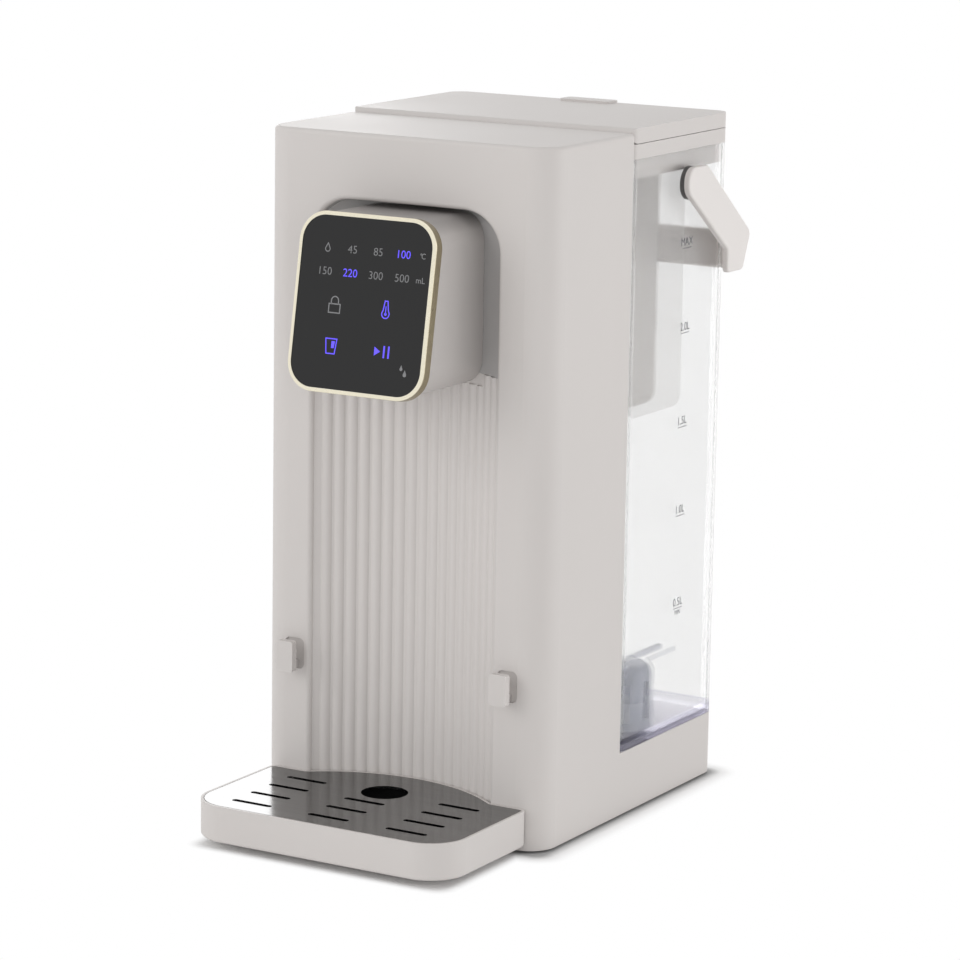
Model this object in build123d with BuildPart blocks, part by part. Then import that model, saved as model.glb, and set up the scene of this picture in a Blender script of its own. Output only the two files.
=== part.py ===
from build123d import *
from math import asin, cos, degrees, radians, sin, sqrt
import os

# A countertop hot water dispenser: an upright block with a touch head over a fluted channel, a base that
# carries a clear lift-off tank behind the block, and a drip tray in front.
# Millimetres. X runs to the right, Y to the back and Z up. The origin is on the table, under the middle of
# the whole outline.

# Body
body_width = 146.0
block_height = 310.0
block_depth = 72.0
bay_depth = 94.5
base_height = 30.0
shell_wall = 2.5
front_corner = 13.0
rear_corner = 8.0
top_edge = 2.0
foot_gap = 1.0
foot_radius = 8.0
foot_pocket = 1.2
plate_thickness = 2.2
deck_thickness = 2.5
rear_panel_thickness = 2.5
foot_inset_side = 22.0
foot_inset_end = 17.0
deck_tuck = 6.0

# Clearances
gap = 0.3
seam = 0.6
fit = 0.05

# Screws and their posts
screw_radius = 1.5
screw_head_radius = 3.0
screw_head_height = 1.4
screw_length = 10.0
post_radius = 4.5
post_weld = 0.6
post_tip = 2.0
post_inset_front = 22.0
post_inset_middle = 10.0
post_inset_back = 16.0
back_screw_low = 22.0
back_screw_high = 16.0

# Fluted channel in the front
channel_inset = 26.0
channel_depth = 18.5
brow_height = 29.4
channel_edge = 2.0
channel_corner = 18.0
panel_thickness = 2.2
reed_count = 17
reed_margin = 2.95
reed_radius = 3.4
reed_height = 1.0
flute_rise = 5.2

# Touch head
head_inset_side = 0.4
head_inset_end = 1.5
head_gap_above = 2.5
head_wall = 2.2
head_screw_inset = 14.0
head_post_reach = 4.0
head_seat_depth = 1.2
head_front = 35.0
face_tilt = 9.8
bezel_width = 68.6
bezel_height = 77.8
bezel_corner = 13.0
bezel_lip = 1.8
bezel_ledge = 2.0
bezel_depth = 5.0
glass_thickness = 2.2
glass_sink = 0.3
spacer_thickness = 3.0
spacer_width = 4.0
board_thickness = 1.6
cable_window_width = 30.0
cable_window_height = 24.0
cable_window_corner = 5.0

# Spout and hoses
spout_reach = 11.1
spout_drop = 6.0
spout_radius = 6.5
spout_flange = 9.0
spigot_radius = 3.2
spigot_bore = 2.2
spigot_length = 8.0
hose_wall = 1.3
transfer_bend = 20.0
hose_run = 4.0
outlet_bend = 18.0
spout_bend = 24.0
hose_drop = 22.0
outlet_rise = 31.1

# Drip tray and plate
tray_inset = 6.75
tray_reach = 70.2
tray_bottom = 3.6
tray_top = 20.2
tray_corner = 18.0
tray_back_corner = 3.0
tray_wall = 2.2
tray_floor = 2.0
tray_rim = 1.2
tray_throat = 4.0
plate_metal = 1.2
plate_hole_radius = 10.5
slot_length = 20.5
slot_width = 3.0
slot_pitch = 14.7
slot_rows = 4
slot_inset = 26.75
slot_front = 12.8
prong_width = 8.0
prong_height = 6.0
prong_length = 13.0
prong_middle_z = 11.0

# Upper tray hooks
hook_inset = 18.0
hook_width = 8.4
hook_height = 14.0
hook_middle_z = 74.0
hook_reach = 8.6
hook_plate = 3.4
hook_stem = 4.0
hook_stem_width = 3.0
window_width = 10.0
window_height = 14.0
window_corner = 2.5
window_recess = 0.8
flange_thickness = 2.0
flange_border = 3.0

# Tank
tank_wall = 2.5
tank_floor_z = 34.7
tank_floor_thickness = 2.5
tank_front_corner = 4.0
rim_height = 6.6
lid_thickness = 6.7
lid_proud = 2.0
rim_border = 8.3
rim_ledge = 2.2
ledge_thickness = 2.0
ledge_drop = 6.0
skirt_depth = 9.0
skirt_thickness = 2.0
gasket_thickness = 1.0
lid_wall = 2.2
lid_skin = 2.2
tab_width = 26.0
tab_reach = 2.0
tab_rise = 1.0
tab_depth = 3.0
tab_corner = 1.5

# Lid hinge
hinge_pin_radius = 1.1
hinge_pin_length = 16.0
hinge_inset = 21.0
ear_width = 6.0
ear_radius = 2.3
ear_stalk_front = 0.1
notch_rise = 0.6

# Filter funnel and its cartridge
funnel_wall = 1.8
funnel_floor_drop = 6.0
funnel_flange = 2.0
filter_side_inset = 27.0
filter_end_inset = 11.45
filter_corner = 10.0
filter_drop = 116.4
filter_floor_radius = 6.0
filter_slot_length = 14.0
filter_slot_width = 3.0
filter_slot_pitch = 14.0
filter_slot_row = 22.0
shoulder_border = 4.0
shoulder_height = 3.7
cartridge_height = 84.0
cartridge_gap = 4.0

# Float in its cage
cage_side_gap = 0.5
float_setback = 28.4
cage_radius = 14.5
cage_wall = 1.5
cage_height = 30.0
cage_flange = 1.5
cage_slots = 6
cage_slot_width = 4.0
cage_bar_length = 39.6
cage_bar_width = 2.4
cage_bar_height = 2.0
float_radius = 9.0
float_height = 13.0
float_travel = 10.0
float_post_radius = 2.3

# Tank valve and the socket under it
valve_setback = 27.4
valve_radius = 13.0
valve_neck_radius = 9.9
valve_flange = 2.0
valve_height = 14.0
valve_chamber_radius = 8.0
valve_throat_radius = 5.5
valve_travel = 3.0
disc_radius = 7.4
disc_thickness = 2.0
washer_thickness = 1.2
stem_radius = 2.0
spring_radius = 4.2
spring_wire = 0.5
spring_turns = 4
socket_radius = 14.0
socket_depth = 16.0
socket_floor = 3.0
socket_bore = 8.0
socket_flange = 3.0
seal_height = 3.4
seal_width = 2.9

# Carrying handle
pivot_setback = 51.4
pivot_drop = 26.5
pivot_hub_radius = 7.6
pivot_hub_height = 2.4
pivot_pin_radius = 4.5
pivot_pin_length = 2.2
arm_thickness = 2.8
root_front = 8.5
root_top = 7.5
root_back = 9.5
root_low = 3.5
elbow_back = 54.8
elbow_drop = 27.5
bar_bottom_back = 47.5
bar_height = 17.0
bar_thickness = 5.2
arm_heel = 15.5
heel_rise = 11.0
root_radius = 6.5
elbow_radius = 4.0
heel_radius = 2.5

# Pump, heater and electronics inside the block
pump_radius = 15.0
pump_head_height = 24.0
motor_radius = 13.5
motor_height = 42.0
pad_height = 2.8
port_height = 13.0
heater_radius = 16.0
heater_height = 105.0
cap_radius = 17.0
cap_height = 8.0
clamp_thickness = 2.0
clamp_height = 8.0
clamp_inset = 15.0
clamp_foot = 8.0
cutout_radius = 7.0
cutout_height = 5.0
cutout_pitch = 22.0
sensor_radius = 2.0
sensor_height = 10.0
power_board_depth = 50.0
power_board_height = 120.0
standoff_length = 9.0
standoff_radius = 3.0
standoff_inset = 6.0
level_sensor_width = 16.0
level_sensor_height = 20.0
level_sensor_depth = 6.0
level_sensor_shift = 4.0
relay_width = 26.0
relay_height = 18.0
relay_depth = 15.0
relay_drop = 40.0
coil_width = 22.0
coil_height = 26.0
coil_depth = 18.0
coil_drop = 5.0
can_radius = 6.0
can_depth = 16.0
can_pitch = 18.0
can_rise = 32.0
gland_inset = 23.0
gland_radius = 5.5
gland_flange = 8.0
gland_bore = 3.3
gland_collar = 4.0

# Places that follow from the sizes
half_width = body_width / 2
handle_reach = block_depth + seam + pivot_setback + elbow_back
front_y = (tray_reach - handle_reach) / 2
block_back_y = front_y + block_depth
body_back_y = block_back_y + bay_depth
plate_top_z = foot_gap + plate_thickness
deck_bottom_z = base_height - deck_thickness
inner_width = body_width - 2 * shell_wall
inner_top_z = block_height - shell_wall
wall_back_y = front_y + shell_wall
panel_front_y = block_back_y - rear_panel_thickness
channel_width = body_width - 2 * channel_inset
channel_top = block_height - brow_height
scoop_depth = channel_depth - shell_wall
channel_radius = ((channel_width / 2) ** 2 + scoop_depth**2) / (2 * scoop_depth)
channel_centre_y = front_y + channel_depth - channel_radius
channel_arc = 2 * channel_radius * asin(channel_width / 2 / channel_radius)
machine_y = (front_y + channel_depth + panel_thickness + panel_front_y) / 2
heater_x = -(pump_radius + 1 + transfer_bend + hose_run)
hose_radius = spigot_radius + fit + hose_wall
tank_front_y = block_back_y + seam
tank_bottom_z = base_height + gap
lid_bottom_z = block_height + lid_proud - lid_thickness
rim_top_z = lid_bottom_z - gap
tank_mouth_z = rim_top_z - rim_height
hook_spacing = body_width - 2 * hook_inset
head_width = bezel_width - 2 * head_inset_side
head_height = bezel_height - 2 * head_inset_end
head_corner = bezel_corner - head_inset_side
head_middle_z = channel_top - head_gap_above - head_height / 2
head_bottom_z = head_middle_z - head_height / 2
flute_top = head_bottom_z + flute_rise


def footprint(width, near_y, far_y, near_radius=0.0, far_radius=0.0):
    """Draw a plan rectangle on the middle line, its near and far corners rounded."""
    with Locations((0, (near_y + far_y) / 2)):
        Rectangle(width, far_y - near_y)
    if near_radius > 0:
        fillet(vertices().group_by(Axis.Y)[0], near_radius)
    if far_radius > 0:
        fillet(vertices().group_by(Axis.Y)[-1], far_radius)


def tank_outline(inset):
    """Draw the tank's plan outline, moved in by the inset."""
    near_radius = max(tank_front_corner - inset, 1.0)
    far_radius = max(rear_corner - inset, 2.0)
    near_y = tank_front_y + inset
    footprint(body_width - 2 * inset, near_y, body_back_y - inset, near_radius, far_radius)


def along_y(y):
    """A plane across the depth at y, whose positive side faces the front."""
    return Plane.XZ.offset(-y)


def channel_back(x, extra=0.0):
    """Y of the channel's surface at x, or of a surface behind it by the extra radius."""
    return channel_centre_y + sqrt((channel_radius + extra) ** 2 - x**2)


# Channel: the space that is scooped out of the block's front
channel_height = channel_top - plate_top_z
with BuildPart() as channel_space:
    with BuildSketch(along_y(front_y - 1)):
        with Locations((0, plate_top_z + channel_height / 2)):
            Rectangle(channel_width, channel_height)
        fillet(vertices().group_by(Axis.Y)[-1], channel_corner)
    extrude(amount=-(channel_depth + 2))
    with BuildSketch(Plane.XY.offset(plate_top_z)):
        with Locations((0, channel_centre_y)):
            Circle(channel_radius)
        with Locations((0, wall_back_y - shell_wall)):
            Rectangle(channel_width, 2 * shell_wall)
    extrude(amount=channel_height, mode=Mode.INTERSECT)

# Body shell: front, sides and top of the block and the walls of the base, in one moulding
post_x = half_width - shell_wall - post_radius + post_weld
post_ys = [front_y + post_inset_front, block_back_y + post_inset_middle, body_back_y - post_inset_back]
post_points = [(side * post_x, y) for side in (-1, 1) for y in post_ys]
back_screw_x = half_width - shell_wall - post_radius + post_weld
back_screw_zs = [base_height + back_screw_low, block_height / 2, inner_top_z - back_screw_high]
back_screw_points = [(side * back_screw_x, z) for side in (-1, 1) for z in back_screw_zs]
hook_xs = [-hook_spacing / 2, hook_spacing / 2]
gland_x = gland_inset - half_width
gland_z = (plate_top_z + deck_bottom_z) / 2
with BuildPart() as body_shell:
    with BuildSketch(Plane.XY.offset(foot_gap)):
        footprint(body_width, front_y, body_back_y, front_corner, rear_corner)
    extrude(amount=base_height - foot_gap)
    with BuildSketch(Plane.XY.offset(foot_gap)):
        footprint(body_width, front_y, block_back_y, front_corner)
    extrude(amount=block_height - foot_gap)
    roof = faces().sort_by(Axis.Z)[-1]
    fillet(roof.edges().sort_by(Axis.Y)[:-1], top_edge)
    with BuildSketch(Plane.XY.offset(foot_gap)):
        inner_back_y = body_back_y - shell_wall
        footprint(inner_width, wall_back_y, inner_back_y, front_corner - shell_wall, rear_corner - shell_wall)
    extrude(amount=base_height - foot_gap, mode=Mode.SUBTRACT)
    with BuildSketch(Plane.XY.offset(foot_gap)):
        footprint(inner_width, wall_back_y, block_back_y, front_corner - shell_wall)
    extrude(amount=inner_top_z - foot_gap, mode=Mode.SUBTRACT)
    with BuildSketch(Plane.XY.offset(plate_top_z)):
        with Locations(*post_points):
            Circle(post_radius)
    extrude(amount=deck_bottom_z - plate_top_z)
    with BuildSketch(Plane.XY.offset(plate_top_z)):
        with Locations(*post_points):
            Circle(screw_radius + fit)
    extrude(amount=screw_length, mode=Mode.SUBTRACT)
    with BuildSketch(along_y(panel_front_y)):
        with Locations(*back_screw_points):
            Circle(post_radius)
    extrude(amount=screw_length + post_tip)
    with BuildSketch(along_y(panel_front_y)):
        with Locations(*back_screw_points):
            Circle(screw_radius + fit)
    extrude(amount=screw_length, mode=Mode.SUBTRACT)
    add(channel_space.part, mode=Mode.SUBTRACT)
    front_face = faces().filter_by(Axis.Y).sort_by(Axis.Y)[0]
    mouth = [e for e in front_face.edges() if abs(e.center().X) < channel_width / 2 + gap]
    fillet([e for e in mouth if plate_top_z + gap < e.center().Z < channel_top + gap], channel_edge)
    with BuildSketch(along_y(front_y)):
        with Locations(*[(x, hook_middle_z) for x in hook_xs]):
            RectangleRounded(window_width, window_height, window_corner)
        with Locations(*[(x, prong_middle_z) for x in hook_xs]):
            Rectangle(prong_width + 2 * fit, prong_height + 2 * fit)
    extrude(amount=-2 * shell_wall, mode=Mode.SUBTRACT)
    with BuildSketch(along_y(body_back_y)):
        with Locations((gland_x, gland_z)):
            Circle(gland_radius + fit)
    extrude(amount=2 * shell_wall, mode=Mode.SUBTRACT)
body_shell.part.label = "body_shell"

# Bottom plate with counterbored screw holes and round pockets for the feet
foot_x = half_width - foot_inset_side
foot_ys = [front_y + foot_inset_end, body_back_y - foot_inset_end]
foot_points = [(side * foot_x, y) for side in (-1, 1) for y in foot_ys]
with BuildPart() as bottom_plate:
    with BuildSketch(Plane.XY.offset(foot_gap)):
        inner_back_y = body_back_y - shell_wall
        footprint(inner_width, wall_back_y, inner_back_y, front_corner - shell_wall, rear_corner - shell_wall)
    extrude(amount=plate_thickness)
    with BuildSketch(Plane.XY.offset(foot_gap)):
        with Locations(*foot_points):
            Circle(foot_radius)
    extrude(amount=foot_pocket, mode=Mode.SUBTRACT)
    with BuildSketch(Plane.XY.offset(foot_gap)):
        with Locations(*post_points):
            Circle(screw_radius + fit)
    extrude(amount=plate_thickness, mode=Mode.SUBTRACT)
    with BuildSketch(Plane.XY.offset(foot_gap)):
        with Locations(*post_points):
            Circle(screw_head_radius + fit)
    extrude(amount=screw_head_height, mode=Mode.SUBTRACT)
bottom_plate.part.label = "bottom_plate"

with BuildPart() as rubber_feet:
    with BuildSketch():
        with Locations(*foot_points):
            Circle(foot_radius)
    extrude(amount=foot_gap + foot_pocket)
    chamfer(edges().group_by(Axis.Z)[0], 0.6)
rubber_feet.part.label = "rubber_feet"

with BuildPart() as bottom_screws:
    with BuildSketch(Plane.XY.offset(foot_gap + 0.1)):
        with Locations(*post_points):
            Circle(screw_head_radius)
    extrude(amount=screw_head_height - 0.1)
    with BuildSketch(Plane.XY.offset(foot_gap + screw_head_height)):
        with Locations(*post_points):
            Circle(screw_radius)
    extrude(amount=screw_length - 1)
bottom_screws.part.label = "bottom_screws"

# Rear panel: closes the back of the block, with four shallow stiffening ribs on its inner side
with BuildPart() as rear_panel:
    with BuildSketch(along_y(block_back_y)):
        with Locations((0, (base_height + inner_top_z) / 2)):
            Rectangle(inner_width, inner_top_z - base_height)
    extrude(amount=rear_panel_thickness)
    with BuildSketch(along_y(block_back_y)):
        with Locations(*back_screw_points):
            Circle(screw_head_radius + fit)
    extrude(amount=screw_head_height, mode=Mode.SUBTRACT)
    with BuildSketch(along_y(block_back_y)):
        with Locations(*back_screw_points):
            Circle(screw_radius + fit)
    extrude(amount=rear_panel_thickness, mode=Mode.SUBTRACT)
rear_panel.part.label = "rear_panel"

with BuildPart() as panel_screws:
    with BuildSketch(along_y(block_back_y - 0.1)):
        with Locations(*back_screw_points):
            Circle(screw_head_radius)
    extrude(amount=screw_head_height - 0.1)
    with BuildSketch(along_y(block_back_y - screw_head_height)):
        with Locations(*back_screw_points):
            Circle(screw_radius)
    extrude(amount=screw_length - 1)
panel_screws.part.label = "panel_screws"

# Base deck: the shelf that the tank stands on, tucked in under the rear panel
valve_y = tank_front_y + valve_setback
with BuildPart() as base_deck:
    with BuildSketch(Plane.XY.offset(deck_bottom_z)):
        deck_front_y = panel_front_y - deck_tuck
        footprint(inner_width, deck_front_y, body_back_y - shell_wall, 0, rear_corner - shell_wall)
        with Locations((0, valve_y)):
            Circle(socket_radius + fit, mode=Mode.SUBTRACT)
    extrude(amount=deck_thickness)
base_deck.part.label = "base_deck"

# Valve socket in the deck: a cup with a lifting pin, a spigot to the front and a flange under the deck
socket_bottom_z = base_height - socket_depth
port_z = socket_bottom_z + socket_floor + spigot_radius
plunger_foot_z = base_height + 1.0
with BuildPart() as valve_socket:
    with BuildSketch(Plane.XY.offset(socket_bottom_z)):
        with Locations((0, valve_y)):
            Circle(socket_radius)
    extrude(amount=socket_depth)
    with BuildSketch(Plane.XY.offset(deck_bottom_z - deck_thickness)):
        with Locations((0, valve_y)):
            Circle(socket_radius + socket_flange)
    extrude(amount=deck_thickness)
    with BuildSketch(Plane.XY.offset(socket_bottom_z + socket_floor)):
        with Locations((0, valve_y)):
            Circle(socket_bore)
    extrude(amount=socket_depth, mode=Mode.SUBTRACT)
    with BuildSketch(Plane.XY.offset(base_height - seal_height + 0.5)):
        with Locations((0, valve_y)):
            Circle(socket_bore + seal_width + fit)
    extrude(amount=seal_height, mode=Mode.SUBTRACT)
    with BuildSketch(along_y(valve_y - socket_bore - 1)):
        with Locations((0, port_z)):
            Circle(spigot_radius)
    extrude(amount=socket_radius - socket_bore - 1 + spigot_length)
    with BuildSketch(along_y(valve_y)):
        with Locations((0, port_z)):
            Circle(spigot_bore)
    extrude(amount=socket_radius + spigot_length, mode=Mode.SUBTRACT)
    with BuildSketch(Plane.XY.offset(socket_bottom_z + 1)):
        with Locations((0, valve_y)):
            Circle(stem_radius)
    extrude(amount=plunger_foot_z - gap - socket_bottom_z - 1)
valve_socket.part.label = "valve_socket"

with BuildPart() as seat_seal:
    with BuildSketch(Plane.XY.offset(base_height - seal_height + 0.5)):
        with Locations((0, valve_y)):
            Circle(socket_bore + seal_width)
            Circle(socket_bore, mode=Mode.SUBTRACT)
    extrude(amount=seal_height)
seat_seal.part.label = "seat_seal"

# Cord gland in the back wall of the base
with BuildPart() as cord_gland:
    with BuildSketch(along_y(body_back_y)):
        with Locations((gland_x, gland_z)):
            Circle(gland_flange)
    extrude(amount=-1.6)
    with BuildSketch(along_y(body_back_y + gland_collar + 1.6)):
        with Locations((gland_x, gland_z)):
            Circle(gland_radius)
    extrude(amount=gland_collar + 1.6 + shell_wall + 4)
    with BuildSketch(along_y(body_back_y - shell_wall)):
        with Locations((gland_x, gland_z)):
            RegularPolygon(gland_flange, 6)
    extrude(amount=3)
    with BuildSketch(along_y(body_back_y + gland_collar + 2)):
        with Locations((gland_x, gland_z)):
            Circle(gland_bore)
    extrude(amount=gland_collar + shell_wall + 10, mode=Mode.SUBTRACT)
cord_gland.part.label = "cord_gland"

# Channel panel: the concave wall under the head, covered with upright reeds
reed_pitch = (channel_arc - 2 * reed_margin) / reed_count
reed_pitch_angle = degrees(reed_pitch / channel_radius)
reed_half = (reed_count - 1) / 2
reed_centre = channel_radius + reed_radius - reed_height


def reed_points(least_x):
    """Centres of the reeds that stand at least least_x away from the middle."""
    points = []
    for index in range(reed_count):
        angle = radians((index - reed_half) * reed_pitch_angle)
        point = (reed_centre * sin(angle), channel_centre_y + reed_centre * cos(angle))
        if abs(point[0]) >= least_x:
            points.append(point)
    return points


def channel_wall(points):
    """Draw the curved wall in plan, with a reed at each point."""
    with Locations((0, channel_centre_y)):
        Circle(channel_radius + panel_thickness)
        Circle(channel_radius, mode=Mode.SUBTRACT)
    if points:
        with Locations(*points):
            Circle(reed_radius)
    with Locations((0, channel_centre_y)):
        Circle(channel_radius + panel_thickness, mode=Mode.INTERSECT)
    with Locations((0, wall_back_y + channel_depth)):
        Rectangle(channel_width + 2 * panel_thickness, 2 * channel_depth, mode=Mode.INTERSECT)


with BuildPart() as channel_panel:
    with BuildSketch(Plane.XY.offset(plate_top_z)):
        channel_wall(reed_points(0))
    extrude(amount=head_bottom_z - gap - plate_top_z)
    with BuildSketch(Plane.XY.offset(head_bottom_z - gap)):
        channel_wall(reed_points(head_width / 2 + reed_radius / 2))
    extrude(amount=flute_top - head_bottom_z + gap)
channel_panel.part.label = "channel_panel"

# Head mount plate: the dark smooth wall behind the head, with a ceiling and a window for hose and cable
plate_bottom_z = flute_top + 0.1
hose_z = head_middle_z + head_height / 2 - hose_drop
head_screw_x = head_width / 2 - head_wall - post_radius + post_weld
head_screw_rise = head_height / 2 - head_screw_inset
head_screw_points = [(sx * head_screw_x, head_middle_z + sz * head_screw_rise) for sx in (-1, 1) for sz in (-1, 1)]
with BuildPart() as head_mount_plate:
    rise = channel_top + panel_thickness - plate_bottom_z
    with BuildSketch(along_y(wall_back_y)):
        with Locations((0, plate_bottom_z + rise / 2)):
            Rectangle(channel_width + 2 * panel_thickness, rise)
        fillet(vertices().group_by(Axis.Y)[-1], channel_corner + panel_thickness)
    extrude(amount=-channel_depth)
    with BuildSketch(Plane.XY.offset(plate_bottom_z)):
        with Locations((0, channel_centre_y)):
            Circle(channel_radius + panel_thickness)
    extrude(amount=rise, mode=Mode.INTERSECT)
    add(channel_space.part, mode=Mode.SUBTRACT)
    with BuildSketch(along_y(wall_back_y)):
        with Locations((0, hose_z)):
            RectangleRounded(cable_window_width, cable_window_height, cable_window_corner)
    extrude(amount=-2 * channel_depth, mode=Mode.SUBTRACT)
    with BuildSketch(along_y(wall_back_y)):
        with Locations(*head_screw_points):
            Circle(screw_radius + fit)
    extrude(amount=-2 * channel_depth, mode=Mode.SUBTRACT)
head_mount_plate.part.label = "head_mount_plate"

# Head: a sleeve of rounded square section, cut off on the slant in front and fitted to the channel behind
face_normal = (0, -cos(radians(face_tilt)), sin(radians(face_tilt)))
face_middle_z = head_middle_z + bezel_depth / 2 * sin(radians(face_tilt))
face_plane = Plane(origin=(0, front_y - head_front, face_middle_z), x_dir=(1, 0, 0), z_dir=face_normal)
spout_y = front_y - spout_reach
head_front_y = front_y - head_front - head_height
with BuildPart() as head_shell:
    with BuildSketch(along_y(head_front_y)):
        with Locations((0, head_middle_z)):
            RectangleRounded(head_width, head_height, head_corner)
            RectangleRounded(head_width - 2 * head_wall, head_height - 2 * head_wall,
                             head_corner - head_wall, mode=Mode.SUBTRACT)
    extrude(amount=head_front_y - front_y - channel_depth)
    with BuildSketch(along_y(front_y - head_post_reach)):
        with Locations(*head_screw_points):
            Circle(post_radius)
    extrude(amount=-channel_depth - head_post_reach)
    with BuildSketch(along_y(front_y + 2)):
        with Locations(*head_screw_points):
            Circle(screw_radius + fit)
    extrude(amount=-channel_depth, mode=Mode.SUBTRACT)
    split(bisect_by=face_plane.offset(-bezel_depth), keep=Keep.BOTTOM)
    with BuildSketch(Plane.XY.offset(head_bottom_z - 1)):
        with Locations((0, channel_centre_y)):
            Circle(channel_radius - 0.1)
    extrude(amount=head_height + 2, mode=Mode.INTERSECT)
    with BuildSketch(Plane.XY.offset(head_bottom_z - 1)):
        with Locations((0, spout_y)):
            Circle(spout_radius + fit)
    extrude(amount=head_wall + 2, mode=Mode.SUBTRACT)
head_shell.part.label = "head_shell"

with BuildPart() as head_screws:
    for x, z in head_screw_points:
        back_y = channel_back(x, panel_thickness) + head_seat_depth
        with BuildSketch(along_y(back_y + screw_head_height)):
            with Locations((x, z)):
                Circle(screw_head_radius)
        extrude(amount=screw_head_height)
        with BuildSketch(along_y(back_y)):
            with Locations((x, z)):
                Circle(screw_radius)
        extrude(amount=screw_length)
head_screws.part.label = "head_screws"

# Bezel ring with an inner ledge that carries the glass
glass_width = bezel_width - 2 * bezel_lip - 2 * fit
glass_height = bezel_height - 2 * bezel_lip - 2 * fit
glass_corner = bezel_corner - bezel_lip
ledge_depth = glass_sink + glass_thickness
ledge_inset = bezel_lip + bezel_ledge
with BuildPart() as bezel_ring:
    with BuildSketch(face_plane):
        RectangleRounded(bezel_width, bezel_height, bezel_corner)
        RectangleRounded(bezel_width - 2 * ledge_inset, bezel_height - 2 * ledge_inset,
                         bezel_corner - ledge_inset, mode=Mode.SUBTRACT)
    extrude(amount=-bezel_depth)
    with BuildSketch(face_plane):
        RectangleRounded(bezel_width - 2 * bezel_lip, bezel_height - 2 * bezel_lip, glass_corner)
    extrude(amount=-ledge_depth, mode=Mode.SUBTRACT)
    outer_edges = faces().sort_by(Axis(face_plane.origin, face_plane.z_dir))[-1].outer_wire().edges()
    fillet(outer_edges, 0.8)
bezel_ring.part.label = "bezel_ring"

with BuildPart() as touch_glass:
    with BuildSketch(face_plane.offset(-glass_sink)):
        RectangleRounded(glass_width, glass_height, glass_corner - fit)
    extrude(amount=-glass_thickness)
touch_glass.part.label = "touch_glass"

spacer_outer = ledge_inset + gap
spacer_inner = spacer_outer + spacer_width
with BuildPart() as panel_spacer:
    with BuildSketch(face_plane.offset(-ledge_depth)):
        RectangleRounded(bezel_width - 2 * spacer_outer, bezel_height - 2 * spacer_outer,
                         bezel_corner - spacer_outer)
        RectangleRounded(bezel_width - 2 * spacer_inner, bezel_height - 2 * spacer_inner,
                         bezel_corner - spacer_inner, mode=Mode.SUBTRACT)
    extrude(amount=-spacer_thickness)
panel_spacer.part.label = "panel_spacer"

with BuildPart() as display_board:
    with BuildSketch(face_plane.offset(-ledge_depth - spacer_thickness)):
        RectangleRounded(bezel_width - 2 * spacer_outer, bezel_height - 2 * spacer_outer,
                         bezel_corner - spacer_outer)
    extrude(amount=-board_thickness)
display_board.part.label = "display_board"

# Spout: a nozzle through the head's floor, its flange inside and a spigot up to the hose
spout_floor_z = head_bottom_z + head_wall
spout_top_z = spout_floor_z + 2 + spigot_length
with BuildPart() as spout_nozzle:
    with BuildSketch(Plane.XY.offset(head_bottom_z - spout_drop)):
        with Locations((0, spout_y)):
            Circle(spout_radius)
    extrude(amount=spout_drop + head_wall)
    chamfer(edges().group_by(Axis.Z)[0], 1.2)
    with BuildSketch(Plane.XY.offset(spout_floor_z)):
        with Locations((0, spout_y)):
            Circle(spout_flange)
    extrude(amount=2)
    with BuildSketch(Plane.XY.offset(spout_floor_z)):
        with Locations((0, spout_y)):
            Circle(spigot_radius)
    extrude(amount=2 + spigot_length)
    with BuildSketch(Plane.XY.offset(head_bottom_z - spout_drop)):
        with Locations((0, spout_y)):
            Circle(spigot_bore)
    extrude(amount=spout_top_z - head_bottom_z + spout_drop, mode=Mode.SUBTRACT)
spout_nozzle.part.label = "spout_nozzle"

# Pump: a rubber pad, the pump head with its two spigots, and the motor on top
pad_top_z = plate_top_z + pad_height
pump_top_z = pad_top_z + pump_head_height
with BuildPart() as pump_pad:
    with BuildSketch(Plane.XY.offset(plate_top_z)):
        with Locations((0, machine_y)):
            Circle(pump_radius + 1)
    extrude(amount=pad_height)
pump_pad.part.label = "pump_pad"

with BuildPart() as pump_head:
    with BuildSketch(Plane.XY.offset(pad_top_z)):
        with Locations((0, machine_y)):
            Circle(pump_radius)
    extrude(amount=pump_head_height)
    with BuildSketch(along_y(machine_y)):
        with Locations((0, port_z)):
            Circle(spigot_radius)
    extrude(amount=-pump_radius - spigot_length)
    with BuildSketch(Plane.YZ):
        with Locations((machine_y, port_z)):
            Circle(spigot_radius)
    extrude(amount=-pump_radius - spigot_length)
    with BuildSketch(along_y(machine_y)):
        with Locations((0, port_z)):
            Circle(spigot_bore)
    extrude(amount=-pump_radius - spigot_length, mode=Mode.SUBTRACT)
    with BuildSketch(Plane.YZ):
        with Locations((machine_y, port_z)):
            Circle(spigot_bore)
    extrude(amount=-pump_radius - spigot_length, mode=Mode.SUBTRACT)
pump_head.part.label = "pump_head"

with BuildPart() as pump_motor:
    with BuildSketch(Plane.XY.offset(pump_top_z)):
        with Locations((0, machine_y)):
            Circle(motor_radius)
    extrude(amount=motor_height)
    fillet(edges().group_by(Axis.Z)[-1], 2)
    with BuildSketch(Plane.XY.offset(pump_top_z + motor_height)):
        with Locations((0, machine_y)):
            Circle(motor_radius * 0.35)
    extrude(amount=3)
pump_motor.part.label = "pump_motor"

# Heater: an upright flow-through tube between two end caps, clamped to the rear panel
heater_top_z = hose_z - outlet_rise
heater_bottom = heater_top_z - heater_height
with BuildPart() as heater_tube:
    with BuildSketch(Plane.XY.offset(heater_bottom)):
        with Locations((heater_x, machine_y)):
            Circle(heater_radius)
            Circle(heater_radius - 3, mode=Mode.SUBTRACT)
    extrude(amount=heater_height)
heater_tube.part.label = "heater_tube"

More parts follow.
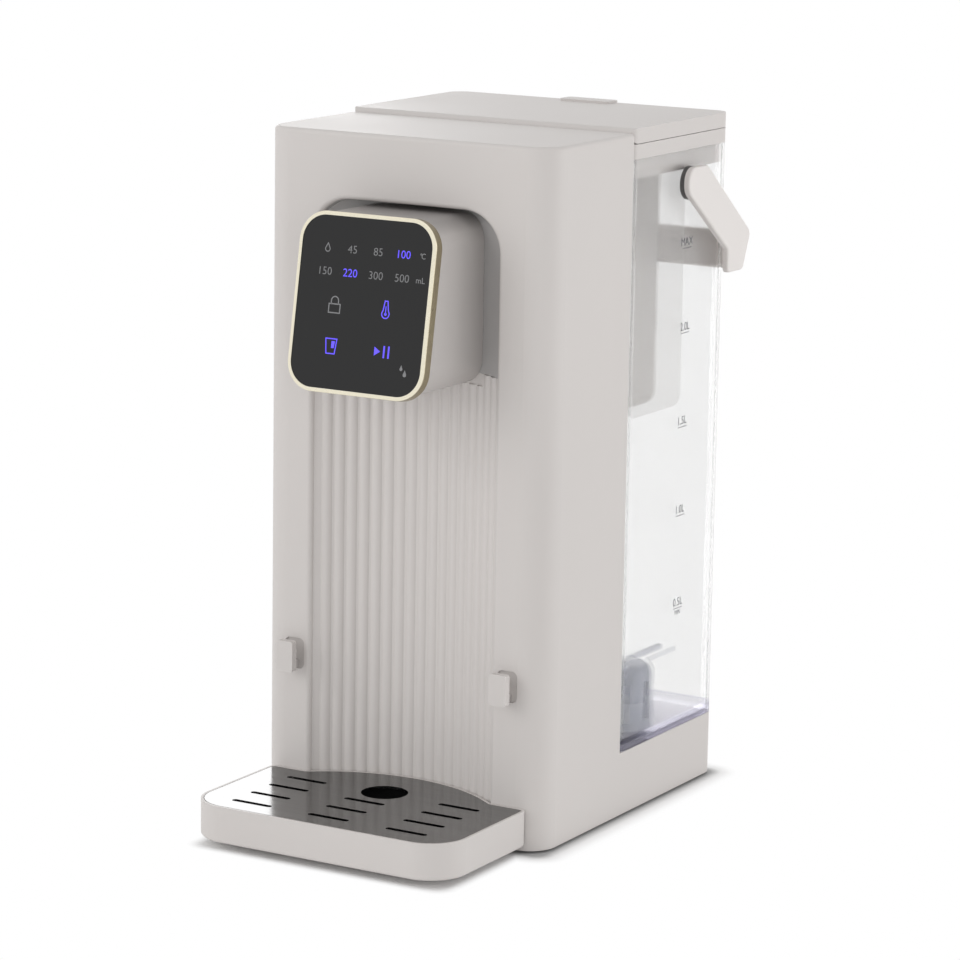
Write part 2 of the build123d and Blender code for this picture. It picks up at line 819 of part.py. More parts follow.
with BuildPart() as heater_caps:
    for cap_z, side in ((heater_bottom - cap_height, -1), (heater_top_z, 1)):
        with BuildSketch(Plane.XY.offset(cap_z)):
            with Locations((heater_x, machine_y)):
                Circle(cap_radius)
        extrude(amount=cap_height)
        spigot_z = cap_z - spigot_length if side < 0 else cap_z + cap_height
        with BuildSketch(Plane.XY.offset(spigot_z)):
            with Locations((heater_x, machine_y)):
                Circle(spigot_radius)
        extrude(amount=spigot_length)
        with BuildSketch(Plane.XY.offset(min(cap_z, spigot_z))):
            with Locations((heater_x, machine_y)):
                Circle(spigot_bore)
        extrude(amount=cap_height + spigot_length, mode=Mode.SUBTRACT)
heater_caps.part.label = "heater_caps"

clamp_zs = [heater_bottom + clamp_inset, heater_top_z - clamp_inset - clamp_height]
with BuildPart() as heater_clamps:
    for clamp_z in clamp_zs:
        with BuildSketch(Plane.XY.offset(clamp_z)):
            with Locations((heater_x, (machine_y + panel_front_y) / 2)):
                Rectangle(clamp_foot, panel_front_y - machine_y)
            with Locations((heater_x, machine_y)):
                Circle(heater_radius + fit + clamp_thickness)
                Circle(heater_radius + fit, mode=Mode.SUBTRACT)
        extrude(amount=clamp_height)
heater_clamps.part.label = "heater_clamps"

# Two safety cutouts against the heater's side, and a probe on its upper cap
cutout_zs = [heater_bottom + heater_height / 2 + side * cutout_pitch / 2 for side in (-1, 1)]
with BuildPart() as thermal_cutouts:
    with BuildSketch(Plane.YZ.offset(heater_x - heater_radius - 0.1)):
        with Locations(*[(machine_y, z) for z in cutout_zs]):
            Circle(cutout_radius)
    extrude(amount=-cutout_height)
thermal_cutouts.part.label = "thermal_cutouts"

with BuildPart() as temperature_probe:
    with BuildSketch(Plane.XY.offset(heater_top_z + cap_height)):
        with Locations((heater_x + cap_radius / 2 + sensor_radius, machine_y)):
            Circle(sensor_radius)
    extrude(amount=sensor_height)
temperature_probe.part.label = "temperature_probe"


def hose_end(point, direction):
    """The plane at a hose's open end, square to its first run."""
    return Plane(origin=point, z_dir=direction)


# Hoses: socket to pump, pump to heater, heater to spout
hose_bore = spigot_radius + fit
with BuildPart() as inlet_hose:
    with BuildSketch(along_y(valve_y - socket_radius - 1)):
        with Locations((0, port_z)):
            Circle(hose_radius)
            Circle(hose_bore, mode=Mode.SUBTRACT)
    extrude(amount=valve_y - socket_radius - machine_y - pump_radius - 2)
inlet_hose.part.label = "inlet_hose"

transfer_start = (-pump_radius - 1, machine_y, port_z)
with BuildPart() as transfer_hose:
    with BuildLine():
        FilletPolyline(transfer_start, (heater_x, machine_y, port_z),
                       (heater_x, machine_y, heater_bottom - cap_height - 1), radius=transfer_bend)
    with BuildSketch(hose_end(transfer_start, (-1, 0, 0))):
        Circle(hose_radius)
        Circle(hose_bore, mode=Mode.SUBTRACT)
    sweep()
transfer_hose.part.label = "transfer_hose"

outlet_start = (heater_x, machine_y, heater_top_z + cap_height + 1)
with BuildPart() as outlet_hose:
    with BuildLine():
        FilletPolyline(outlet_start, (heater_x, machine_y, hose_z), (0, machine_y, hose_z),
                       (0, spout_y, hose_z), (0, spout_y, spout_top_z - spigot_length + 1),
                       radius=[outlet_bend, outlet_bend, spout_bend])
    with BuildSketch(hose_end(outlet_start, (0, 0, 1))):
        Circle(hose_radius)
        Circle(hose_bore, mode=Mode.SUBTRACT)
    sweep()
outlet_hose.part.label = "outlet_hose"

# Power board on standoffs along the right wall, with its larger parts
board_x = half_width - shell_wall - standoff_length - board_thickness
board_y = (wall_back_y + panel_front_y) / 2
board_z = (base_height + inner_top_z) / 2
standoff_points = [(board_y + sy * (power_board_depth / 2 - standoff_inset),
                    board_z + sz * (power_board_height / 2 - standoff_inset))
                   for sy in (-1, 1) for sz in (-1, 1)]
with BuildPart() as power_board:
    with BuildSketch(Plane.YZ.offset(board_x)):
        with Locations((board_y, board_z)):
            Rectangle(power_board_depth, power_board_height)
    extrude(amount=board_thickness)
power_board.part.label = "power_board"

with BuildPart() as board_standoffs:
    with BuildSketch(Plane.YZ.offset(board_x + board_thickness)):
        with Locations(*standoff_points):
            Circle(standoff_radius)
    extrude(amount=standoff_length)
board_standoffs.part.label = "board_standoffs"

with BuildPart() as board_parts:
    with BuildSketch(Plane.YZ.offset(board_x)):
        with Locations((board_y, board_z - relay_drop)):
            Rectangle(relay_width, relay_height)
    extrude(amount=-relay_depth)
    with BuildSketch(Plane.YZ.offset(board_x)):
        with Locations((board_y, board_z - coil_drop)):
            Rectangle(coil_width, coil_height)
    extrude(amount=-coil_depth)
    with BuildSketch(Plane.YZ.offset(board_x)):
        with Locations(*[(board_y + side * can_pitch / 2, board_z + can_rise) for side in (-1, 1)]):
            Circle(can_radius)
    extrude(amount=-can_depth)
board_parts.part.label = "board_parts"

# Level sensor on the inner side of the rear panel, level with the float
float_x = half_width - tank_wall - cage_side_gap - cage_radius
float_y = tank_front_y + float_setback
with BuildPart() as level_sensor:
    with BuildSketch(along_y(panel_front_y)):
        with Locations((float_x - level_sensor_shift, tank_floor_z + level_sensor_height / 2)):
            Rectangle(level_sensor_width, level_sensor_height)
    extrude(amount=level_sensor_depth)
level_sensor.part.label = "level_sensor"

# Upper tray hooks: an upright plate on a stem that comes through a window in the front
hook_low_z = hook_middle_z - hook_height / 2
stem_middle_z = hook_low_z + hook_stem / 2
with BuildPart() as tray_hooks:
    with BuildSketch(along_y(front_y - hook_reach)):
        with Locations(*[(x, hook_middle_z) for x in hook_xs]):
            RectangleRounded(hook_width, hook_height, 1.2)
    extrude(amount=-hook_plate)
    with BuildSketch(along_y(front_y - hook_reach + hook_plate)):
        with Locations(*[(x, stem_middle_z) for x in hook_xs]):
            Rectangle(hook_stem_width, hook_stem)
    extrude(amount=-(hook_reach - hook_plate + shell_wall))
    with BuildSketch(along_y(wall_back_y)):
        with Locations(*[(x, hook_middle_z) for x in hook_xs]):
            Rectangle(window_width, window_height + 2 * flange_border)
    extrude(amount=-flange_thickness)
tray_hooks.part.label = "tray_hooks"

with BuildPart() as hook_windows:
    with BuildSketch(along_y(front_y + window_recess)):
        with Locations(*[(x, hook_middle_z) for x in hook_xs]):
            RectangleRounded(window_width - 2 * fit, window_height - 2 * fit, window_corner - fit)
        with Locations(*[(x, stem_middle_z) for x in hook_xs]):
            Rectangle(hook_stem_width + 2 * fit, hook_stem + 2 * fit, mode=Mode.SUBTRACT)
    extrude(amount=window_recess - shell_wall)
hook_windows.part.label = "hook_windows"

# Lower tray prongs, which carry the tray in its pockets
with BuildPart() as tray_prongs:
    with BuildSketch(along_y(front_y - prong_length)):
        with Locations(*[(x, prong_middle_z) for x in hook_xs]):
            RectangleRounded(prong_width, prong_height, 1.0)
    extrude(amount=-(prong_length + shell_wall))
    with BuildSketch(along_y(wall_back_y)):
        with Locations(*[(x, prong_middle_z) for x in hook_xs]):
            Rectangle(window_width, prong_height + 2 * flange_border)
    extrude(amount=-flange_thickness)
tray_prongs.part.label = "tray_prongs"

# Drip tray: a tub whose rounded tongue reaches into the channel, with two pockets for the prongs
tray_width = body_width - 2 * tray_inset
tray_front_y = front_y - tray_reach
tray_back_y = front_y - gap
tongue_radius = channel_radius - reed_height - seam


def tray_outline(inset):
    """Draw the tray's plan outline, moved in by the inset."""
    footprint(tray_width - 2 * inset, tray_front_y + inset, tray_back_y - inset,
              tray_corner - inset, max(tray_back_corner - inset, 0.5))
    with BuildSketch(mode=Mode.PRIVATE) as tongue:
        with Locations((0, channel_centre_y)):
            Circle(tongue_radius - inset)
        with Locations((0, tray_back_y - inset - seam + 2 * channel_depth)):
            Rectangle(body_width, 4 * channel_depth, mode=Mode.INTERSECT)
    add(tongue.sketch)
    throat = vertices().filter_by_position(Axis.Y, tray_back_y - inset - 0.01, tray_back_y - inset + 0.01)
    fillet(throat.sort_by(Axis.X)[1:-1], tray_throat + inset)


pocket_wall = 1.5
pocket_depth = prong_length + gap
rim_z = tray_top
ledge_z = tray_top - plate_metal - 0.2
with BuildPart() as drip_tray:
    with BuildSketch(Plane.XY.offset(tray_bottom)):
        tray_outline(0)
    extrude(amount=tray_top - tray_bottom)
    fillet(edges().group_by(Axis.Z)[0], 1.6)
    with BuildSketch(Plane.XY.offset(tray_bottom + tray_floor)):
        tray_outline(tray_wall)
    extrude(amount=tray_top, mode=Mode.SUBTRACT)
    with BuildSketch(Plane.XY.offset(tray_bottom + tray_floor)):
        with Locations(*[(x, tray_back_y - (pocket_depth + pocket_wall) / 2) for x in hook_xs]):
            Rectangle(prong_width + 2 * gap + 2 * pocket_wall, pocket_depth + pocket_wall)
    extrude(amount=ledge_z - tray_bottom - tray_floor)
    with BuildSketch(Plane.XY.offset(ledge_z)):
        tray_outline(tray_rim)
    extrude(amount=tray_top, mode=Mode.SUBTRACT)
    with BuildSketch(along_y(front_y)):
        with Locations(*[(x, prong_middle_z) for x in hook_xs]):
            Rectangle(prong_width + 2 * gap, prong_height + 2 * gap)
    extrude(amount=pocket_depth + gap, mode=Mode.SUBTRACT)
drip_tray.part.label = "drip_tray"

# Drip plate: sheet steel with drain slots and a round finger hole under the spout
slot_front_y = tray_front_y + slot_front
slot_column = tray_width / 2 - slot_inset
with BuildPart() as drip_plate:
    with BuildSketch(Plane.XY.offset(ledge_z + 0.2)):
        tray_outline(tray_rim + gap)
        with Locations((0, spout_y)):
            Circle(plate_hole_radius, mode=Mode.SUBTRACT)
        slot_points = []
        for column in (-1, 0, 1):
            rows = slot_rows - 1 if column == 0 else slot_rows
            for row in range(rows):
                slot_points.append((column * slot_column, slot_front_y + row * slot_pitch))
        with Locations(*slot_points):
            SlotOverall(slot_length, slot_width, mode=Mode.SUBTRACT)
    extrude(amount=plate_metal)
drip_plate.part.label = "drip_plate"

# Tank: clear open box with a thick floor over a low foot rim
with BuildPart() as tank_shell:
    with BuildSketch(Plane.XY.offset(tank_bottom_z)):
        tank_outline(0)
    extrude(amount=tank_mouth_z - tank_bottom_z)
    with BuildSketch(Plane.XY.offset(tank_floor_z)):
        tank_outline(tank_wall)
    extrude(amount=tank_mouth_z - tank_floor_z, mode=Mode.SUBTRACT)
    with BuildSketch(Plane.XY.offset(tank_bottom_z)):
        tank_outline(tank_wall)
    extrude(amount=tank_floor_z - tank_floor_thickness - tank_bottom_z, mode=Mode.SUBTRACT)
    with BuildSketch(Plane.XY.offset(tank_bottom_z)):
        with Locations((0, valve_y)):
            Circle(valve_neck_radius + fit)
    extrude(amount=tank_floor_z - tank_bottom_z, mode=Mode.SUBTRACT)
tank_shell.part.label = "tank_shell"

# Rim: caps the tank's mouth, with a skirt inside the wall, a ledge for the funnel and two hinge ears
hinge_y = tank_front_y + lid_thickness / 2
hinge_z = lid_bottom_z + lid_thickness / 2
ledge_top_z = rim_top_z - ledge_drop
ear_xs = [hinge_inset - half_width, half_width - hinge_inset]
with BuildPart() as tank_rim:
    with BuildSketch(Plane.XY.offset(tank_mouth_z)):
        tank_outline(0)
    extrude(amount=rim_height)
    with BuildSketch(Plane.XY.offset(tank_mouth_z - skirt_depth)):
        tank_outline(tank_wall + gap)
    extrude(amount=skirt_depth)
    with BuildSketch(Plane.XY.offset(tank_mouth_z - skirt_depth)):
        tank_outline(tank_wall + gap + skirt_thickness)
    extrude(amount=skirt_depth, mode=Mode.SUBTRACT)
    with BuildSketch(Plane.XY.offset(ledge_top_z - ledge_thickness)):
        tank_outline(tank_wall + gap)
    extrude(amount=ledge_thickness)
    with BuildSketch(Plane.XY.offset(ledge_top_z - ledge_thickness)):
        tank_outline(rim_border + rim_ledge)
    extrude(amount=ledge_thickness + ledge_drop, mode=Mode.SUBTRACT)
    with BuildSketch(Plane.XY.offset(ledge_top_z)):
        tank_outline(rim_border)
    extrude(amount=rim_height, mode=Mode.SUBTRACT)
    for ear_x in ear_xs:
        with BuildSketch(Plane.YZ.offset(ear_x - ear_width / 2)):
            with Locations((hinge_y, hinge_z)):
                Circle(ear_radius)
            with Locations((hinge_y + (ear_radius - ear_stalk_front) / 2, (hinge_z + rim_top_z) / 2)):
                Rectangle(ear_radius + ear_stalk_front, hinge_z - rim_top_z)
        extrude(amount=ear_width)
        with BuildSketch(Plane.YZ.offset(ear_x - ear_width / 2)):
            with Locations((hinge_y, hinge_z)):
                Circle(hinge_pin_radius + fit)
        extrude(amount=ear_width, mode=Mode.SUBTRACT)
tank_rim.part.label = "tank_rim"

with BuildPart() as rim_gasket:
    with BuildSketch(Plane.XY.offset(ledge_top_z)):
        tank_outline(rim_border + 0.1)
        with BuildSketch(mode=Mode.PRIVATE) as gasket_hole:
            tank_outline(rim_border + rim_ledge)
        add(gasket_hole.sketch, mode=Mode.SUBTRACT)
    extrude(amount=gasket_thickness)
rim_gasket.part.label = "rim_gasket"

# Filter funnel: a shallow basin hung in the rim, with a deep pocket for the cartridge
funnel_top_z = ledge_top_z + gasket_thickness
funnel_floor_z = tank_mouth_z - funnel_floor_drop
filter_y = (tank_front_y + body_back_y) / 2
filter_width = body_width - 2 * filter_side_inset
filter_depth = bay_depth - seam - 2 * filter_end_inset
filter_bottom = funnel_floor_z - filter_drop


def filter_outline(grow):
    """Draw the filter pocket's plan outline, grown by a margin."""
    with Locations((0, filter_y)):
        RectangleRounded(filter_width + 2 * grow, filter_depth + 2 * grow, filter_corner + grow)


with BuildPart() as filter_funnel:
    with BuildSketch(Plane.XY.offset(funnel_top_z)):
        tank_outline(rim_border + gap)
    extrude(amount=funnel_flange)
    with BuildSketch(Plane.XY.offset(funnel_floor_z - funnel_wall)):
        tank_outline(rim_border + rim_ledge + gap)
    extrude(amount=funnel_top_z - funnel_floor_z + funnel_wall)
    with BuildSketch(Plane.XY.offset(funnel_floor_z - funnel_wall - shoulder_height)):
        filter_outline(shoulder_border)
    extrude(amount=shoulder_height)
    with BuildSketch(Plane.XY.offset(filter_bottom)):
        filter_outline(0)
    extrude(amount=funnel_floor_z - filter_bottom)
    fillet(edges().group_by(Axis.Z)[0], filter_floor_radius)
    with BuildSketch(Plane.XY.offset(funnel_floor_z)):
        tank_outline(rim_border + rim_ledge + gap + funnel_wall)
    extrude(amount=funnel_top_z + funnel_flange - funnel_floor_z, mode=Mode.SUBTRACT)
    with BuildSketch(Plane.XY.offset(filter_bottom + funnel_wall)):
        filter_outline(-funnel_wall)
    extrude(amount=funnel_floor_z - filter_bottom, mode=Mode.SUBTRACT)
    with BuildSketch(Plane.XY.offset(filter_bottom)):
        with Locations((0, filter_y)):
            with GridLocations(filter_slot_pitch, filter_slot_row, 4, 2):
                SlotOverall(filter_slot_length, filter_slot_width, rotation=90)
    extrude(amount=funnel_wall + 1, mode=Mode.SUBTRACT)
filter_funnel.part.label = "filter_funnel"

with BuildPart() as filter_cartridge:
    with BuildSketch(Plane.XY.offset(filter_bottom + funnel_wall)):
        filter_outline(-funnel_wall - cartridge_gap)
    extrude(amount=cartridge_height)
    fillet(edges().group_by(Axis.Z)[-1], 3)
filter_cartridge.part.label = "filter_cartridge"

# Lid: a hollow cap whose round nose turns on the hinge pins, with a finger tab at the back
notch_width = ear_width + 2 * gap + 0.2
with BuildPart() as tank_lid:
    with BuildSketch(Plane.XY.offset(lid_bottom_z)):
        tank_outline(0)
    extrude(amount=lid_thickness)
    with BuildSketch(Plane.XY.offset(lid_bottom_z + lid_thickness - tab_depth)):
        with Locations((0, body_back_y)):
            RectangleRounded(tab_width, 2 * tab_reach, tab_corner)
    extrude(amount=tab_depth)
    with BuildSketch(Plane.XY.offset(lid_bottom_z + lid_thickness)):
        with Locations((0, body_back_y - tab_depth)):
            RectangleRounded(tab_width, 2 * (tab_reach + tab_depth), tab_corner)
    extrude(amount=tab_rise)
    with BuildSketch(Plane.XY.offset(lid_bottom_z)):
        hollow_front_y = hinge_y + lid_thickness / 2
        footprint(body_width - 2 * lid_wall, hollow_front_y, body_back_y - lid_wall, 1.0, rear_corner - lid_wall)
    extrude(amount=lid_thickness - lid_skin, mode=Mode.SUBTRACT)
    with BuildSketch(Plane.YZ.offset(-half_width)):
        with Locations((tank_front_y + lid_thickness / 4, hinge_z)):
            Rectangle(lid_thickness / 2, lid_thickness)
        with Locations((hinge_y, hinge_z)):
            Circle(lid_thickness / 2, mode=Mode.SUBTRACT)
    extrude(amount=body_width, mode=Mode.SUBTRACT)
    for ear_x in ear_xs:
        with BuildSketch(Plane.YZ.offset(ear_x - notch_width / 2)):
            with Locations((hinge_y, hinge_z)):
                Circle(ear_radius + gap)
            notch_back_y = hinge_y + ear_radius + gap
            notch_top_z = hinge_z + notch_rise
            with Locations(((tank_front_y + notch_back_y) / 2, (lid_bottom_z + notch_top_z) / 2)):
                Rectangle(notch_back_y - tank_front_y, notch_top_z - lid_bottom_z)
        extrude(amount=notch_width, mode=Mode.SUBTRACT)
        with BuildSketch(Plane.YZ.offset(ear_x - hinge_pin_length / 2)):
            with Locations((hinge_y, hinge_z)):
                Circle(hinge_pin_radius + fit / 2)
        extrude(amount=hinge_pin_length, mode=Mode.SUBTRACT)
tank_lid.part.label = "tank_lid"

with BuildPart() as hinge_pins:
    for ear_x in ear_xs:
        with BuildSketch(Plane.YZ.offset(ear_x - hinge_pin_length / 2 + gap)):
            with Locations((hinge_y, hinge_z)):
                Circle(hinge_pin_radius)
        extrude(amount=hinge_pin_length - 2 * gap)
hinge_pins.part.label = "hinge_pins"

# Tank valve: a cage through the floor, a sprung plunger with a washer
valve_low_z = tank_bottom_z + 0.5
seat_z = tank_floor_z - 0.7
cage_top_z = tank_floor_z + valve_height
with BuildPart() as valve_body:
    with BuildSketch(Plane.XY.offset(valve_low_z)):
        with Locations((0, valve_y)):
            Circle(valve_neck_radius)
    extrude(amount=tank_floor_z - valve_low_z)
    with BuildSketch(Plane.XY.offset(tank_floor_z)):
        with Locations((0, valve_y)):
            Circle(valve_radius)
    extrude(amount=valve_flange)
    with BuildSketch(Plane.XY.offset(tank_floor_z)):
        with Locations((0, valve_y)):
            Circle(valve_neck_radius)
    extrude(amount=valve_height)
    with BuildSketch(Plane.XY.offset(seat_z)):
        with Locations((0, valve_y)):
            Circle(valve_chamber_radius)
    extrude(amount=cage_top_z - 2 - seat_z, mode=Mode.SUBTRACT)
    with BuildSketch(Plane.XY.offset(valve_low_z)):
        with Locations((0, valve_y)):
            Circle(valve_throat_radius)
    extrude(amount=seat_z - valve_low_z, mode=Mode.SUBTRACT)
    with BuildSketch(Plane.XY.offset(cage_top_z - 2)):
        with Locations((0, valve_y)):
            Circle(stem_radius + gap)
    extrude(amount=2, mode=Mode.SUBTRACT)
    with BuildSketch(Plane.XY.offset(tank_floor_z + valve_flange + 1)):
        with Locations((0, valve_y)):
            Rectangle(5, 3 * valve_neck_radius)
            Rectangle(3 * valve_neck_radius, 5)
    extrude(amount=valve_height - valve_flange - 4, mode=Mode.SUBTRACT)
valve_body.part.label = "valve_body"

washer_z = seat_z + 0.1
disc_z = washer_z + washer_thickness
with BuildPart() as valve_washer:
    with BuildSketch(Plane.XY.offset(washer_z)):
        with Locations((0, valve_y)):
            Circle(disc_radius)
            Circle(stem_radius + fit, mode=Mode.SUBTRACT)
    extrude(amount=washer_thickness)
valve_washer.part.label = "valve_washer"

with BuildPart() as valve_plunger:
    with BuildSketch(Plane.XY.offset(plunger_foot_z)):
        with Locations((0, valve_y)):
            Circle(stem_radius)
    extrude(amount=cage_top_z + 1 - plunger_foot_z)
    with BuildSketch(Plane.XY.offset(disc_z)):
        with Locations((0, valve_y)):
            Circle(disc_radius)
    extrude(amount=disc_thickness)
valve_plunger.part.label = "valve_plunger"

spring_low_z = disc_z + disc_thickness + spring_wire + 0.05
spring_height = cage_top_z - 2 - spring_wire - 0.1 - spring_low_z
with BuildPart() as valve_spring:
    with BuildLine(Plane.XY.offset(spring_low_z).move(Location((0, valve_y, 0)))) as spring_path:
        Helix(pitch=spring_height / spring_turns, height=spring_height, radius=spring_radius)
    with BuildSketch(Plane(origin=spring_path.line @ 0, z_dir=spring_path.line % 0)):
        Circle(spring_wire)
    sweep(is_frenet=True)
valve_spring.part.label = "valve_spring"

# Float cage on the tank's floor with a thin bar on top, and the float that rises round its post
cage_top = tank_floor_z + cage_height
with BuildPart() as float_cage:
    with BuildSketch(Plane.XY.offset(tank_floor_z)):
        with Locations((float_x, float_y)):
            Circle(cage_radius)
    extrude(amount=cage_height)
    fillet(edges().group_by(Axis.Z)[-1], 5)
    with BuildSketch(Plane.XY.offset(tank_floor_z + cage_flange)):
        with Locations((float_x, float_y)):
            Circle(cage_radius - cage_wall)
    extrude(amount=cage_height - 2 * cage_wall, mode=Mode.SUBTRACT)
    with BuildSketch(Plane.XY.offset(tank_floor_z + cage_flange + 3)):
        with Locations((float_x, float_y)):
            with PolarLocations(cage_radius, cage_slots):
                Rectangle(3 * cage_wall, cage_slot_width)
    extrude(amount=cage_height - 12, mode=Mode.SUBTRACT)
    with BuildSketch(Plane.XY.offset(tank_floor_z)):
        with Locations((float_x, float_y)):
            Circle(float_post_radius)
    extrude(amount=cage_height - cage_wall)
    with BuildSketch(Plane.XY.offset(cage_top - cage_bar_height)):
        with Locations((float_x, float_y + cage_bar_length / 2)):
            Rectangle(cage_bar_width, cage_bar_length)
    extrude(amount=cage_bar_height)
float_cage.part.label = "float_cage"

with BuildPart() as level_float:
    with BuildSketch(Plane.XY.offset(tank_floor_z + cage_flange + gap)):
        with Locations((float_x, float_y)):
            Circle(float_radius)
            Circle(float_post_radius + gap, mode=Mode.SUBTRACT)
    extrude(amount=float_height)
    fillet(edges().filter_by(GeomType.CIRCLE).sort_by(SortBy.RADIUS)[-2:], 1.5)
level_float.part.label = "level_float"

# Handle pivots: a round hub and a pin on each side wall of the tank
pivot_y = tank_front_y + pivot_setback
pivot_z = block_height - pivot_drop
with BuildPart() as handle_pivots:
    for side in (-1, 1):
        with BuildSketch(Plane.YZ.offset(side * half_width)):
            with Locations((pivot_y, pivot_z)):
                Circle(pivot_hub_radius)
        extrude(amount=side * pivot_hub_height)
        with BuildSketch(Plane.YZ.offset(side * (half_width + pivot_hub_height))):
            with Locations((pivot_y, pivot_z)):
                Circle(pivot_pin_radius)
        extrude(amount=side * pivot_pin_length)
handle_pivots.part.label = "handle_pivots"

# Handle: two wide flat arms outside the tank and a bar behind it
arm_inner_x = half_width + pivot_hub_height + gap
arm_outer_x = arm_inner_x + arm_thickness
elbow_y = pivot_y + elbow_back
elbow_z = pivot_z - elbow_drop
bar_low_y = pivot_y + bar_bottom_back
bar_low_z = elbow_z - bar_height
heel_y = bar_low_y - arm_heel
heel_z = bar_low_z + heel_rise
arm_points = [
    (pivot_y - root_front, pivot_z + root_top),
    (pivot_y + root_back, pivot_z + root_top),
    (elbow_y, elbow_z),
    (bar_low_y, bar_low_z),
    (heel_y, bar_low_z),
    (heel_y, heel_z),
    (pivot_y - root_front, pivot_z - root_low),
]
arm_radii = [root_radius, elbow_radius, elbow_radius, heel_radius, heel_radius, heel_radius, root_radius]
bar_front_y = bar_low_y - bar_thickness + 1
bar_points = [
    (bar_front_y, bar_low_z),
    (bar_low_y, bar_low_z),
    (elbow_y, elbow_z),
    (elbow_y - bar_thickness, elbow_z),
]
with BuildPart() as tank_handle:
    with BuildSketch(Plane.YZ.offset(arm_inner_x)):
        with BuildLine():
            Polyline(*arm_points, close=True)
        make_face()
        for point, radius in zip(arm_points, arm_radii):
            fillet(vertices().sort_by_distance(point)[0], radius)
    extrude(amount=arm_thickness)
    fillet(faces().sort_by(Axis.X)[-1].edges(), 1)
    mirror(about=Plane.YZ)
    with BuildSketch(Plane.YZ.offset(-arm_inner_x - 1)):
        with BuildLine():
            Polyline(*bar_points, close=True)
        make_face()
        fillet(vertices(), 1.8)
    extrude(amount=2 * arm_inner_x + 2)
    for side in (-1, 1):
        with BuildSketch(Plane.YZ.offset(side * arm_inner_x)):
            with Locations((pivot_y, pivot_z)):
                Circle(pivot_pin_radius + fit)
        extrude(amount=side * (pivot_pin_length - gap + fit), mode=Mode.SUBTRACT)
tank_handle.part.label = "tank_handle"

pieces = [
    body_shell, bottom_plate, rubber_feet, bottom_screws, rear_panel, panel_screws, base_deck, valve_socket,
    seat_seal, cord_gland, channel_panel, head_mount_plate, head_shell, head_screws, bezel_ring, touch_glass,
    panel_spacer, display_board, spout_nozzle, pump_pad, pump_head, pump_motor, heater_tube, heater_caps,
    heater_clamps, thermal_cutouts, temperature_probe, inlet_hose, transfer_hose, outlet_hose, power_board,
    board_standoffs, board_parts, level_sensor, tray_hooks, hook_windows, tray_prongs, drip_tray, drip_plate,
    tank_shell, tank_rim, rim_gasket, filter_funnel, filter_cartridge, tank_lid, hinge_pins, valve_body,
    valve_washer, valve_plunger, valve_spring, float_cage, level_float, handle_pivots, tank_handle,
]
os.makedirs("parts", exist_ok=True)
for piece in pieces:
    export_step(piece.part, f"parts/{piece.part.label}.step")
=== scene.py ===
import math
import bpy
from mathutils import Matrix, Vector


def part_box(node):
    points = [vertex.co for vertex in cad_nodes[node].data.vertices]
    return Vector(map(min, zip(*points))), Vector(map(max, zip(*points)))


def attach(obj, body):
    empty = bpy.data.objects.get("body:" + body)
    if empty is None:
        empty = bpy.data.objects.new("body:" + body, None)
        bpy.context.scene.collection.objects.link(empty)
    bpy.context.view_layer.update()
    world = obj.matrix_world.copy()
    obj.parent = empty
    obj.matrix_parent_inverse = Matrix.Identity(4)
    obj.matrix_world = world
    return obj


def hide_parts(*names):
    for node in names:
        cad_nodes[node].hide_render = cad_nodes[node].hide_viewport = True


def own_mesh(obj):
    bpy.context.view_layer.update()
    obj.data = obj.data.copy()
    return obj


bl_info = {
    "name": "Hot water dispenser",
    "version": (1, 0, 0),
    "blender": (4, 5, 0),
    "location": "View3D > Sidebar > Dispenser",
    "description": "Finishes, print, valve spring and studio for a countertop hot water dispenser",
    "category": "Object",
}

import bmesh
import bpy
from mathutils import Matrix, Vector

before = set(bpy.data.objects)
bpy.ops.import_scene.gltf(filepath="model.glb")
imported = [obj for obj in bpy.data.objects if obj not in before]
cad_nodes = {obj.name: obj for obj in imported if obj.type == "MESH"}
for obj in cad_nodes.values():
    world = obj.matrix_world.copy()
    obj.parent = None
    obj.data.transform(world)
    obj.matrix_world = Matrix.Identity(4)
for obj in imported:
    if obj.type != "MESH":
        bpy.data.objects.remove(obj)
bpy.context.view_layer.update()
MM = 0.001


def linear(value):
    """One channel of an sRGB colour, 0 to 1, in linear light."""
    return value / 12.92 if value <= 0.04045 else ((value + 0.055) / 1.055) ** 2.4


def shade(red, green, blue):
    """An sRGB colour of 0 to 255 as a linear colour."""
    return tuple(linear(c / 255) for c in (red, green, blue))


# Plain colours that are used more than once
NEAR_BLACK = (0.02, 0.02, 0.02)
SPRING_STEEL = (0.45, 0.45, 0.45)
WHITE_PLASTIC = shade(226, 226, 222)
CLEAR_PLASTIC = shade(254, 254, 254)

# Measures of the CAD solids that a box doesn't give
GLASS_SLANT = math.radians(9.8)
GLASS_HALF = 1.1 * MM
TRAY_CORNER = 18 * MM
TRAY_WALL = 1.6 * MM
SKIRT_DEPTH = 9 * MM

# Print: the gap under the ink, the capitals' share of a font's size, and the least cosine of half
# a corner's turn that the corner of a line is drawn out for
INK_GAP = 0.01 * MM
CAPITALS = 0.73
MITRE_LIMIT = 0.35

# Litre marks, in millimetres: each with the height of its level over the table, how far they are
# behind the tank's front, and half the length, the width and the drop of the line under each
LITRE_MARKS = (("0.5L", 87.8), ("1.0L", 131.3), ("1.5L", 172.5), ("2.0L", 215.8), ("MAX", 254.6))
MARKS_BACK = 52.5
MARK_HALF, MARK_LINE, MARK_DROP = 4.2, 0.3, 0.7

# How far worn plastic goes towards white, and how dark the scratches of brushed metal are
WORN = 0.35
SCRATCH = 0.86

# Rays that see the studio as plain white
SEEN = ("Camera", "Transmission", "Glossy")

